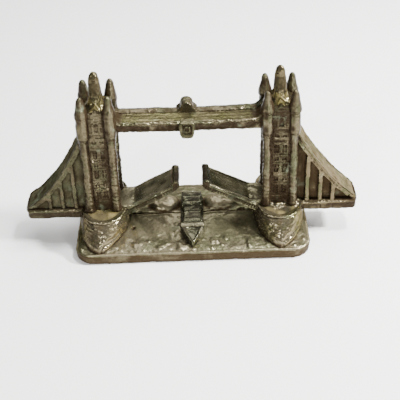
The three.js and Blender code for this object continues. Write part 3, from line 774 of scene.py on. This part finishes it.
def makeTower(side, sign):
    lo, hi = boxMm("tower_" + side)
    centre = (lo + hi) / 2
    mould = bmesh.new()
    halfX, halfY = (hi[0] - lo[0]) / 2, (hi[1] - lo[1]) / 2 - 0.05
    storeys = ((0.22, 7.4), (0.22, 8.3), (0.06, 8.7), (0.0, 26.3), (0.12, 26.5), (0.12, 31.05))
    loft(mould, [rectangle(centre[0] - halfX - grow, centre[0] + halfX + grow, -halfY - grow, halfY + grow, z)
                 for grow, z in storeys])
    # the dormer that breaks the eaves on each face
    for face in (-1, 1):
        prism(mould, [(centre[0] + a, z) for a, z in ((-0.85, 29.3), (0.85, 29.3), (0.85, 30.9), (0.5, 31.3),
                                                      (0, 31.6), (-0.5, 31.3), (-0.85, 30.9))],
              *sorted((face * (halfY - 1.2), face * (halfY + 0.25))))
    keep = tower["wear"][side]

    def walls(points, normals):
        points = towerFace(points, normals, centre, 1, keep, 61 + sign)
        return towerFace(points, normals, centre, 0, keep, 71 + sign)

    def wallWear(points, normals):
        # darkest in the corners beside the turrets and low down
        across = np.abs(points[:, 0] - centre[0])
        wear = -0.75 * bump(across, 1.95, 0.4, 0.4) - 0.4 * (1 - fade(9, 13, points[:, 2]))
        return wear + 0.35 * lumps(points, 1.7, 65) - (0.45 if sign > 0 else 0.2)

    piece = castPiece("tower_casting_" + side, mould, 0.105, 60 + sign, walls, paint=wallWear,
                      lean=tower["lean"][side], soften=3, settle=1)
    finishPiece(piece, towerMetal, "tower_pewter", "tower_" + side)


# radius and height over the pier, in mm; the caps are the same on all eight
turretCap = ((1.32, 22.5), (1.33, 23.1), (1.24, 23.8), (1.1, 24.4), (0.96, 25.0), (0.85, 25.5), (0.76, 26.0),
             (0.66, 26.4), (0.52, 26.75), (0.3, 27.0), (0.1, 27.04))
turretShaft = dict(
    left=((0.5, -0.25), (1.2, -0.1), (1.25, 0.5), (1.08, 0.95), (1.0, 2.0), (0.96, 16.9), (1.1, 17.5),
          (1.27, 18.2), (1.32, 19.3), (1.3, 21.0), (1.2, 21.9), (1.22, 22.2)),
    right=((0.5, -0.25), (1.15, -0.1), (1.2, 0.5), (1.0, 0.95), (0.88, 2.0), (0.85, 16.9), (0.95, 17.3),
           (1.16, 18.0), (1.2, 18.8), (1.14, 21.4), (1.02, 22.0), (1.15, 22.3)),
)


def makeTurrets(side, sign):
    wallLo, wallHi = boxMm("tower_" + side)
    middle = (wallLo[0] + wallHi[0]) / 2
    for i, corner in enumerate(("front_inner", "front_outer", "rear_inner", "rear_outer")):
        node = "turret_" + side + "_" + corner
        lo, hi = boxMm(node)
        x, y = (lo[0] + hi[0]) / 2, (lo[1] + hi[1]) / 2
        mould = bmesh.new()
        turned(mould, x, y, [(r, lo[2] + z) for r, z in turretShaft[side] + turretCap])
        seed = 80 + 5 * sign + i

        def wobble(points, normals, y=y, x=x, seed=seed):
            # beaded by wear: short swellings that climb the shaft
            px, py, pz = points.T
            turn = np.arctan2(py - y, px - x)
            shaft = fade(8.5, 10, pz) * (1 - fade(25, 26, pz))
            beads = 0.03 * np.sin(pz * 2 * math.pi / 0.95 + turn + 2.2 * lumps(points, 2.2, seed)) * shaft
            beads += 0.07 * lumps(points * (0.6, 0.6, 1), 0.9, seed)
            # eight flat sides to the head
            flats = 0.04 * np.cos(8 * turn) * fade(25.5, 26.5, pz) * (1 - fade(31, 32, pz))
            beads *= 1 - 0.6 * fade(31, 32.5, pz)
            return points + normals * (beads + flats)[:, None]

        def turretLightAndShade(points, normals, x=x):
            # a painted highlight runs down the middle of its front, with painted shade on both sides of that
            # and in bands under the head and the cap's eaves, and it is darker low down
            nx, ny = normals.T[:2]
            pz = points[:, 2]
            toWall = nx * np.sign(middle - x)
            wear = 0.45 * bump(nx, 0.3, 0.15, 0.25) * fade(-0.1, 0.4, -ny) - 0.35 * (1 - fade(8.5, 11, pz))
            wear -= 0.8 * fade(0.35, 0.9, toWall) + 0.65 * fade(0.45, 0.95, -toWall)
            wear -= 0.5 * bump(pz, 25.4, 0.25, 0.4) + 0.5 * bump(pz, 30.5, 0.15, 0.35)
            return wear - 0.36 + 0.45 * lumps(points, 1.6, 85)

        piece = castPiece("turret_casting_" + side + "_" + corner, mould, 0.095, seed, wobble,
                          paint=turretLightAndShade, lean=tower["lean"][side], soften=3, grainDepth=0.06)
        finishPiece(piece, towerMetal, "tower_pewter", node)


def makeRoof(side, sign):
    node = "tower_roof_" + side
    lo, hi = boxMm(node)
    x = (lo[0] + hi[0]) / 2
    eaves, tip = lo[2], hi[2]
    # half width, half depth, height over the eaves
    steps = ((2.5, 3.3, -0.3), (2.45, 3.2, 0.1), (2.05, 2.75, 0.45), (1.7, 2.2, 0.9), (1.45, 1.8, 1.6),
             (1.3, 1.45, 2.6), (1.24, 1.28, 3.6), (1.16, 1.19, 4.5), (1.08, 1.1, 5.2), (1.03, 1.05, 5.8),
             (0.95, 0.96, 6.3), (0.8, 0.8, 6.75), (0.55, 0.55, 7.15), (0.2, 0.2, tip - eaves + 0.05))
    mould = bmesh.new()
    loft(mould, [oval(x, 0, eaves + z, w, d, 3.6 if z < 4.5 else 2.6) for w, d, z in steps])
    gable = ((-0.8, -0.2), (0.8, -0.2), (0.75, 0.7), (0, 1.5), (-0.75, 0.7))
    for face in (-1, 1):
        prism(mould, [(x + a, eaves + z) for a, z in gable], *sorted((face * 1.4, face * 3.0)))

    def roofWearAndHighlight(points, normals):
        # golden low on the front, dark on the spire and along its collar, and a painted highlight at the tip
        z = points[:, 2] - eaves
        low = (1 - fade(1.6, 3.0, z)) * fade(-0.2, 0.5, z)
        wear = 0.75 * low * (0.6 + 0.6 * lumps(points, 1.0, 104)) - 0.5 * bump(z, 4.0, 1.4, 1.0)
        return wear - 0.3 * bump(z, 5.2, 0.1, 0.3) + 0.15 * fade(6.0, 6.8, z)

    piece = castPiece("roof_casting_" + side, mould, 0.1, 106 + sign, paint=roofWearAndHighlight,
                      lean=tower["lean"][side], soften=9)
    finishPiece(piece, roofMetal, "roof_pewter", node)


# ---- walkway

walkway = dict(
    end=15.9,  # mm from mid span to where the castings end, inside the turrets
    sag=0.16,  # mm that the long thin castings droop at mid span
    sagEnd=15.65,  # mm from mid span to where they no longer droop
    parapet=dict(front=0.5, rear=1.2),  # mm that the parapets are thicker than their face plates
    flare=dict(front=(0.7, 0.9), rear=(0.9, 2.0)),  # rise at the left and right tower
)


def sagging(points):
    droop = walkway["sag"] * np.clip(1 - (points[:, 0] / walkway["sagEnd"]) ** 2, 0, 1)
    return points - np.column_stack([droop * 0, droop * 0, droop])


def makeWalkway():
    lo, hi = boxMm("walkway_deck")
    top = hi[2] - 1.3  # the deck turns up at its ends
    end = walkway["end"]
    mould = bmesh.new()
    outline = [(-end, lo[2] - 0.02), (end, lo[2] - 0.02), (end, hi[2] + 0.1), (end - 0.9, hi[2] - 0.35),
               (end - 2.3, top), (2.3 - end, top), (0.9 - end, hi[2] - 0.35), (-end, hi[2] + 0.1)]
    prism(mould, outline, lo[1] - 0.2, hi[1] + 0.2)

    def drawn(points, normals):
        # faint draw lines along the deck
        up = fade(0.5, 0.8, normals[:, 2])
        lines = 0.018 * np.sin(points[:, 1] * 5.5 + 1.6 * lumps(points, 6.0, 9))
        lines += 0.03 * lumps(points * (0.2, 1, 1), 1.4, 10)
        return sagging(points + normals * (lines * up)[:, None])

    def deckWear(points, normals):
        # the deck's middle is yellow-grey and even, its ends are dark
        ends = fade(12.0, 14.6, np.abs(points[:, 0]))
        shade = 0.5 * fade(-1.0, 3.0, points[:, 0])  # the right half is darker
        return 0.3 + 0.25 * lumps(points * (0.3, 1, 1), 1.5, 12) - 1.0 * ends - shade

    piece = castPiece("walkway_deck_casting", mould, 0.125, 110, drawn, paint=deckWear, grainDepth=0.03,
                      swellDepth=0.05)
    finishPiece(piece, walkwayMetal, "walkway_pewter", "walkway_deck")
    for face, sign in faces:
        lo, hi = boxMm("walkway_girder_" + face)
        thick = walkway["parapet"][face]
        outer, inner = (lo[1], hi[1] + thick) if sign < 0 else (hi[1], lo[1] - thick)
        mould = bmesh.new()
        ring = [(outer, lo[2]), (inner, lo[2]), (inner, hi[2] - 0.3), ((outer + inner) / 2, hi[2] + 0.1),
                (outer, hi[2] - 0.2)]
        loft(mould, [[(x, y, z) for y, z in ring] for x in (-walkway["end"], walkway["end"])])
        # flares where the girder is soldered to the towers
        for end, rise in zip((-1, 1), walkway["flare"][face]):
            reach = walkway["end"]
            flare = [(end * reach, lo[2] - 0.5 * rise), (end * (reach - 1.3), lo[2] + 0.1),
                     (end * (reach - 2.6), hi[2] - 0.4), (end * (reach - 1.5), hi[2] + 0.35 * rise),
                     (end * reach, hi[2] + rise)]
            prism(mould, flare, *sorted((outer - sign * 0.06, inner)))

        def gnarled(points, normals, sign=sign, lo=lo, hi=hi, face=face):
            # the lattice has filled with metal and left a knotted band
            x, y, z = points.T
            wall = fade(0.4, 0.8, sign * normals[:, 1])
            top = fade(0.3, 0.8, normals[:, 2])
            flat = np.column_stack([x, y * 0, z])
            knots = 0.42 * roughLumps(flat * (0.8, 1, 1), 1.4, 13)
            field = bump(z, (lo[2] + hi[2]) / 2 - 0.15, 0.55, 0.3)
            rise = wall * (knots * field - 0.14 * field + 0.1 * bump(z, hi[2] - 0.35, 0.15, 0.2))
            rise += top * (0.14 if sign < 0 else 0.06) * lumps(points, 1.3, 18)
            return sagging(points + normals * rise[:, None])

        def girderWearAndHighlight(points, normals, sign=sign):
            # the front girder's top is painted lighter, as a highlight; the rear girder's top and the outward
            # faces are darker
            wall = fade(0.3, 0.8, sign * normals[:, 1])
            top = fade(0.5, 0.9, normals[:, 2])
            return (0.45 if sign < 0 else -0.15) * top - 0.45 * wall - 0.1 + 0.5 * lumps(points, 1.2, 19)

        piece = castPiece("walkway_girder_casting_" + face, mould, 0.11, 115 + sign, gnarled,
                          paint=girderWearAndHighlight, soften=4, grainSize=0.6, grainDepth=0.15 if sign < 0 else 0.07)
        finishPiece(piece, towerMetal, "walkway_pewter", "walkway_girder_" + face)


def makeCrests():
    for face, sign in faces:
        lo, hi = boxMm("walkway_crest_" + face)
        x, base, top = (lo[0] + hi[0]) / 2 - 0.25, lo[2], hi[2]
        half = (hi[0] - lo[0]) / 2
        mould = bmesh.new()
        if sign < 0:
            right = [(0.9, -0.1), (half + 0.1, 0.6), (half + 0.3, 2.5), (half + 0.2, 3.25),
                     (half - 0.1, 3.45)]
            shape = right + [(-a, z) for a, z in reversed(right)]
            prism(mould, [(x + a, base + z) for a, z in shape], lo[1] + 0.2, hi[1] + 0.35)
        else:
            # a rounded head whose sides run out along the parapet, and whose inner face runs down to the deck
            half = 1.3
            turns = [math.pi * i / 10 for i in range(11)]
            shape = [(-0.9, 0), (0.9, 0), (1.25, 1.2), (2.3, 3.0), (1.5, 3.7)]
            shape += [(half * math.cos(t), top - base - half + half * math.sin(t)) for t in turns]
            shape += [(-1.5, 3.7), (-2.3, 3.0), (-1.25, 1.2)]
            prism(mould, [(x + a, base + z) for a, z in shape], lo[1] - 1.0, hi[1] - 0.15)

        def badge(points, normals, sign=sign, x=x, base=base):
            # a plain frame round a ring and boss, on the outward face
            px, py, pz = points.T
            wall = fade(0.5, 0.8, sign * normals[:, 1])
            across, up = px - x, pz - base - 1.9
            box = np.maximum(np.abs(across) / 1.3, np.abs(up) / 1.5)
            rise = -0.34 * (1 - fade(0.6, 0.8, box))
            ring = np.hypot(across, up * 0.9)
            rise += 0.34 * bump(ring, 0.55, 0.15, 0.18) * (1 - fade(0.7, 0.9, box))
            return sagging(points + normals * (rise * wall)[:, None])

        def badgeLightAndShade(points, normals, sign=sign, x=x):
            # upper faces are painted lighter, as lit, and left-facing sides darker, as painted shade; outward
            # faces are darker; all weaker on the rear crest
            left = fade(0.3, 0.9, -normals[:, 0])
            up, outward = fade(0.4, 0.9, normals[:, 2]), fade(0.5, 0.9, sign * normals[:, 1])
            return (0.5 * up - 0.5 * left - 0.35 * outward) * (1 if sign < 0 else 0.6)

        piece = castPiece("crest_casting_" + face, mould, 0.09, 120 + sign, badge, paint=badgeLightAndShade, soften=9)
        finishPiece(piece, towerMetal, "walkway_pewter", "walkway_crest_" + face)


# ---- side spans

def chainHeight(distance, hang=0.0):
    # top of the chain, measured from the span's end
    rise = span["tipSlope"] * distance + span["curve"] * distance ** 2
    return span["roadTop"] + span["tipHeight"] + rise - hang * math.sin(math.pi * distance / spanRun)


trussLo, trussHi = boxMm("suspension_truss_right_front")
deckHi = boxMm("span_deck_right")[1]
span = dict(
    end=deckHi[0],
    wall=trussLo[0],
    roadTop=deckHi[2],
    tipHeight=0.35,  # mm that the chain stands over the road at the span's end
    tipSlope=0.75,  # how steeply it leaves that end
    hang=0.8,  # mm that the left chain hangs lower at its middle than the right one
    hangers=(24.2, 26.9, 29.6),  # mm from the middle of the bridge
    joints=(27.1, 29.6),  # the gaps in the road's edge, in the same way
    bow=1.2,  # mm that the road's outer end is rounded
)
spanRun = span["end"] - span["wall"]
span["curve"] = (trussHi[2] - span["roadTop"] - span["tipHeight"] - span["tipSlope"] * spanRun) / spanRun ** 2


def chainOutline(sign, topDrop, bottomDrop, start, end, count=14):
    # a band under the chain's top between two distances from the span's end
    steps = [start + (end - start) * i / (count - 1) for i in range(count)]
    hang = span["hang"] if sign < 0 else 0
    top = [(sign * (span["end"] - u), chainHeight(u, hang) - topDrop(u)) for u in steps]
    bottom = [(sign * (span["end"] - u), chainHeight(u, hang) - bottomDrop(u)) for u in reversed(steps)]
    return top + bottom


def endRounded(points, bow=1.5, share=0.4):
    # the castings' outer ends are rounded in plan
    near = np.clip(1 - (span["end"] - np.abs(points[:, 0])) / bow, 0, 1)
    return points * np.column_stack([near * 0 + 1, 1 - share * near ** 2, near * 0 + 1])


def makeSpan(side, sign):
    panelLo, panelHi = boxMm("span_panel_" + side)
    keep = 1.0 if sign > 0 else 0.2  # the left casting came out of the mould softer
    recess = 0.5 * keep
    mould = bmesh.new()
    outline = chainOutline(sign, lambda u: 0.38, lambda u: chainHeight(u) - span["roadTop"] + 0.2, 0.9,
                           spanRun + 0.5)
    prism(mould, outline, panelLo[1] + recess, panelHi[1] - recess)
    back = chainOutline(sign, lambda u: 0.35, lambda u: 1.1, 0.6, spanRun + 0.5)
    prism(mould, back, panelLo[1] - 0.1, panelHi[1] + 0.1)

    def trough(points, normals):
        # the chain's back is a shallow trough with a low rib along its middle
        up = fade(0.25, 0.5, normals[:, 2])
        y = points[:, 1]
        rise = 0.12 * fade(1.8, 2.6, np.abs(y)) + 0.08 * lumps(points, 2.4, 17)
        return endRounded(points + normals * (rise * up)[:, None])

    def panelWearAndShade(points, normals):
        # the back is painted darker on the left, as shade, and the faces below it darker, most on the right,
        # as painted shade in the recess
        up = fade(0.2, 0.5, normals[:, 2])
        backShade = -0.1 if sign > 0 else -0.3
        return up * backShade - (1 - up) * (0.6 if sign > 0 else 0.2) + 0.4 * lumps(points, 1.5, 132)

    piece = castPiece("span_panel_casting_" + side, mould, 0.13, 130 + sign, trough, paint=panelWearAndShade,
                      soften=10, grainDepth=0.07)
    finishPiece(piece, chainMetals[side], "span_pewter", "span_panel_" + side)

    def depth(u):
        return 1.15 + 1.5 * u / spanRun

    for face, towards in faces:
        node = "suspension_truss_" + side + "_" + face
        lo, hi = boxMm(node)
        y0, y1 = lo[1], hi[1]
        inner0, inner1 = (y0 + 0.22, y1 + recess) if towards < 0 else (y0 - recess, y1 - 0.22)
        mould = bmesh.new()
        # two thin chains with a web set back between them
        wallEnd = spanRun + 0.4
        upper = chainOutline(sign, lambda u: 0.0, lambda u: 0.8 + 0.25 * u / spanRun, 0.25, wallEnd)
        lower = chainOutline(sign, lambda u: depth(u) - 0.5, depth, 2.2, wallEnd)
        web = chainOutline(sign, lambda u: 0.3, lambda u: depth(u) - 0.2, 1.0, wallEnd)
        prism(mould, upper, y0, y1)
        prism(mould, lower, y0, y1)
        prism(mould, web, inner0, inner1)
        for x in span["hangers"]:
            u = span["end"] - x
            foot, head = span["roadTop"] - 0.1, chainHeight(u) - depth(u) + 0.3
            corners = ((-0.5, foot), (0.5, foot), (0.42, head), (-0.42, head))
            outline = [(sign * (x + a), z) for a, z in corners]
            prism(mould, outline, *sorted((y0 if towards < 0 else y1, inner1 if towards < 0 else inner0)))

        def worn(points, normals):
            return endRounded(points + normals * (0.1 * roughLumps(points, 1.4, 143))[:, None])

        def trussLightAndShade(points, normals, towards=towards):
            # the right trusses are painted lighter and the left ones darker, most on their upper faces, as
            # painted light and shade, and left-facing sides carry painted shade
            up = fade(0.3, 0.7, normals[:, 2])
            left = fade(0.2, 0.8, -normals[:, 0])
            tone = 0.35 if sign > 0 else -0.4
            return tone * (0.6 + 0.5 * up) - 0.5 * left + 0.4 * lumps(points, 1.4, 145)

        piece = castPiece("suspension_truss_casting_" + side + "_" + face, mould, 0.1,
                          140 + 3 * sign + towards, worn, paint=trussLightAndShade, soften=6 if sign > 0 else 22)
        finishPiece(piece, spanMetals[side], "span_pewter", node)

    lo, hi = boxMm("span_deck_" + side)
    mould = bmesh.new()
    inner, outer = (hi[0] + 0.6, lo[0]) if sign < 0 else (lo[0] - 0.6, hi[0])
    rings = []
    bow = span["bow"]
    for inset, z in ((0.45, lo[2]), (0.12, lo[2] + 0.25), (0.0, lo[2] + 0.8), (0.02, hi[2] - 0.4),
                     (0.0, hi[2] - 0.05), (0.2, hi[2] + 0.25)):
        halfY = hi[1] - inset
        turns = [math.radians(-90 + 15 * i) for i in range(13)]
        ring = [(outer - sign * (bow + inset - bow * max(math.cos(t), 0) ** 0.5), halfY * math.sin(t), z)
                for t in turns]
        rings.append(ring + [(inner, halfY, z), (inner, -halfY, z)])
    loft(mould, rings)

    def road(points, normals, lo=lo, hi=hi):
        x, y, z = points.T
        wall = 1 - fade(0.4, 0.7, np.abs(normals[:, 2]))
        joints = sum(bump(np.abs(x), middle, 0.14, 0.25) for middle in span["joints"])
        rise = 0.16 * bump(z, hi[2] - 0.35, 0.16, 0.25)
        rise -= 0.14 * keep * joints * bump(z, lo[2] + 0.9, 0.7, 0.4)
        return endRounded(points + normals * (rise * wall)[:, None], 1.0, 0.15)

    def roadWearAndHighlight(points, normals, hi=hi):
        # a painted highlight along the road's top edge; the right road's outer end is darker
        rim = bump(points[:, 2], hi[2] - 0.3, 0.25, 0.25)
        end = 0.7 * fade(30.5, 33.5, np.abs(points[:, 0])) if sign > 0 else 0
        return (-0.5 if sign > 0 else -0.7) - end + 0.8 * rim + 0.4 * lumps(points, 2.0, 152)

    piece = castPiece("span_deck_casting_" + side, mould, 0.12, 150 + sign, road, paint=roadWearAndHighlight)
    finishPiece(piece, spanMetals[side], "span_pewter", "span_deck_" + side)


# ---- raised leaves

leaf = dict(
    pitch=28,  # degrees that the leaves are raised
    thick=1.75,  # mm, square to the road
    kerb=0.85,
    lip=0.85,  # radius of the thick rolled edge across the tip
    pits=0.62,  # mm between the dots on the kerb's face
)


def makeLeaf(side, sign):
    lo, hi = boxMm("bascule_leaf_" + side)
    tipX = min(abs(lo[0]), abs(hi[0]))
    rootX = max(abs(lo[0]), abs(hi[0])) + 0.3
    slope = math.tan(math.radians(leaf["pitch"]))
    under = leaf["thick"] / math.cos(math.radians(leaf["pitch"]))

    def height(x):
        return hi[2] - (x - tipX) * slope

    mould = bmesh.new()
    tip, root = height(tipX), height(rootX)
    road = [(tipX + 0.1, tip - 0.9), (tipX + 0.75, tip - under), (rootX, root - under), (rootX, root - 0.12),
            (tipX + 0.1, tip - 0.12)]
    prism(mould, [(sign * x, z) for x, z in road], lo[1] + 0.1, hi[1] - 0.1)
    for face in (-1, 1):
        edge = [(tipX + 0.1, tip - 0.1), (tipX + 0.1, tip - 1.1), (tipX + 0.75, tip - under),
                (rootX, root - under), (rootX, root + 0.1)]
        prism(mould, [(sign * x, z) for x, z in edge], *sorted((face * hi[1], face * (hi[1] - leaf["kerb"]))))
    # the rolled edge across the tip
    turns = [math.pi * i / 7 for i in range(14)]
    lip = leaf["lip"]
    roll = [(tipX + lip + lip * math.cos(t), hi[2] - lip + lip * math.sin(t)) for t in turns]
    prism(mould, [(sign * x, z) for x, z in roll], lo[1] + 0.05, hi[1] - 0.05)
    # where the leaf runs out into the pier's ledge
    shoulder = [(11.6, height(11.6) - under + 0.1), (15.6, 5.2), (15.6, 8.1), (14.3, 8.3),
                (12.4, height(12.4) + 0.1)]
    prism(mould, [(sign * x, z) for x, z in shoulder], lo[1] + 0.1, hi[1] - 0.1)

    def dots(points, normals):
        x, y, z = points.T
        wall = fade(0.5, 0.8, np.abs(normals[:, 1]))
        pitch = math.radians(leaf["pitch"])
        along = np.abs(x) * math.cos(pitch) - z * math.sin(pitch)
        down = height(np.abs(x)) - z
        row = bump(down, 1.0, 0.42, 0.25)
        dotted = np.sin(along * 2 * math.pi / leaf["pits"]) * (0.6 + 0.6 * lumps(points, 1.5, 163))
        edges = 0.12 * bump(down, 0.3, 0.16, 0.2) + 0.1 * bump(down, 1.75, 0.15, 0.2)
        rise = wall * (row * (0.16 * dotted - 0.18) + edges)
        up = fade(0.5, 0.8, normals[:, 2])
        rise += up * 0.03 * lumps(points * (0.4, 1, 1), 1.2, 164)
        rise += up * (0.22 if sign > 0 else 0.05) * bump(np.abs(y), hi[1] - 0.5, 0.3, 0.4)
        return points + normals * rise[:, None]

    def leafWearAndLight(points, normals):
        # lighter at the root, most on the left; a painted highlight along the kerb tops, most on the right;
        # upper faces lighter; kerb faces darker; painted shade on the rolled tip
        x, y, z = points.T
        root = fade(11.5, 14.5, np.abs(x))
        rim = bump(np.abs(y), hi[1] - 0.35, 0.2, 0.3) * fade(0.3, 0.8, normals[:, 2])
        wear = 0.8 * root * (1.0 if sign < 0 else 0.4) + (0.9 if sign > 0 else 0.1) * rim
        top = fade(0.5, 0.8, normals[:, 2])
        wear += (0.6 if sign < 0 else 0.4) * top - 0.35 * fade(0.5, 0.8, np.abs(normals[:, 1]))
        wear -= 1.2 * (1 - fade(tipX + 0.9, tipX + 1.6, np.abs(x)))
        return wear + 0.3 * lumps(points, 1.5, 165)

    piece = castPiece("leaf_casting_" + side, mould, 0.115, 160 + sign, dots, paint=leafWearAndLight, soften=9,
                      grainDepth=0.06)
    finishPiece(piece, leafMetal, "leaf_pewter", "bascule_leaf_" + side)


# ---- boat

def makeBoat():
    lo, hi = boxMm("boat_hull")
    mould = bmesh.new()
    halfW = hi[0]
    shoulder = -6.1

    def hullRing(inset, z, drop):
        ring = []
        w = halfW - inset
        for i in range(17):
            t = -1 + 2 * i / 16
            x = w * t
            y = shoulder + (lo[1] - shoulder + inset) * (1 - abs(t) ** 1.35)
            ring.append((x, y, z - drop * (shoulder - y) / (shoulder - lo[1])))
        ring += [(w, 4.6, z), (w * 0.7, hi[1] - inset, z), (-w * 0.7, hi[1] - inset, z), (-w, 4.6, z)]
        return ring

    loft(mould, [hullRing(0.35, 2.0, 0), hullRing(0.1, 2.9, 0), hullRing(0.0, 3.7, 0.35),
                 hullRing(0.12, hi[2], 0.6)])

    def foredeck(points, normals):
        x, y, z = points.T
        up = fade(0.5, 0.8, normals[:, 2])
        front = 1 - fade(shoulder - 0.3, shoulder, y)
        edge = halfW * (1 - np.clip((shoulder - y) / (shoulder - lo[1]), 0, 1)) ** 0.74
        gap = edge - np.abs(x)
        rise = front * (0.22 * bump(gap, 0.25, 0.22, 0.2) - 0.12 * fade(0.4, 0.8, gap))
        return points + normals * (rise * up)[:, None]

    def hullLightAndShade(points, normals):
        # a painted highlight along the foredeck's right edge, and painted shade down the hull's left side
        x, y, z = points.T
        right = fade(0.8, 1.6, x) * (1 - fade(shoulder - 0.5, shoulder, y))
        return 0.5 * right - 0.4 * fade(-0.6, -1.8, x) * (1 - right) + 0.3 * lumps(points, 1.3, 176)

    piece = castPiece("boat_hull_casting", mould, 0.11, 170, foredeck, paint=hullLightAndShade, grainDepth=0.05)
    finishPiece(piece, boatMetal, "boat_pewter", "boat_hull")

    lo, hi = boxMm("boat_coaming")
    mould = bmesh.new()
    section = [(lo[1], lo[2] - 0.3), (hi[1], lo[2] - 0.3), (hi[1], hi[2] - 0.05), (lo[1] + 0.25, hi[2]),
               (lo[1], hi[2] - 0.3)]
    loft(mould, [[(x, y, z) for y, z in section] for x in (lo[0] + 0.05, hi[0] - 0.05)])
    piece = castPiece("boat_coaming_casting", mould, 0.09, 171,
                      paint=lambda points, normals: 0.8 + 0.3 * lumps(points, 1.0, 177))
    finishPiece(piece, boatMetal, "boat_pewter", "boat_coaming")

    for node, seed, bars in (("boat_cabin", 172, 2.3), ("boat_wheelhouse", 173, 1.9)):
        lo, hi = boxMm(node)
        mould = bmesh.new()
        loft(mould, [rectangle(lo[0] + inset, hi[0] - inset, lo[1] + inset * 0.6, hi[1] - inset * 0.6, z)
                     for inset, z in ((-0.5, lo[2] - 0.3), (-0.45, hi[2] - 0.3), (-0.2, hi[2] - 0.02))])

        def roof(points, normals, bars=bars, lo=lo, hi=hi):
            up = fade(0.5, 0.8, normals[:, 2])
            wall = 1 - up
            beam = np.sin((points[:, 1] - lo[1]) * 2 * math.pi / bars)
            port = bump(points[:, 2], hi[2] - 0.5, 0.16, 0.15) * fade(0.2, 0.6, beam)
            rise = up * 0.12 * fade(0.3, 0.8, beam) - wall * 0.14 * port
            return points + normals * rise[:, None]

        piece = castPiece(node + "_casting", mould, 0.09, seed, roof, soften=3, grainDepth=0.05,
                          paint=lambda points, normals: 0.35 * lumps(points, 1.2, 178) - 0.2)
        finishPiece(piece, boatMetal, "boat_pewter", node)


makeRiver()
print("river plinth cast")
for sideName, sideSign in sides:
    makePier(sideName, sideSign)
    makeTower(sideName, sideSign)
    makeTurrets(sideName, sideSign)
    makeRoof(sideName, sideSign)
    makeSpan(sideName, sideSign)
    makeLeaf(sideName, sideSign)
    print(sideName, "side cast")
makeWalkway()
makeCrests()
makeBoat()
print("walkway and boat cast")
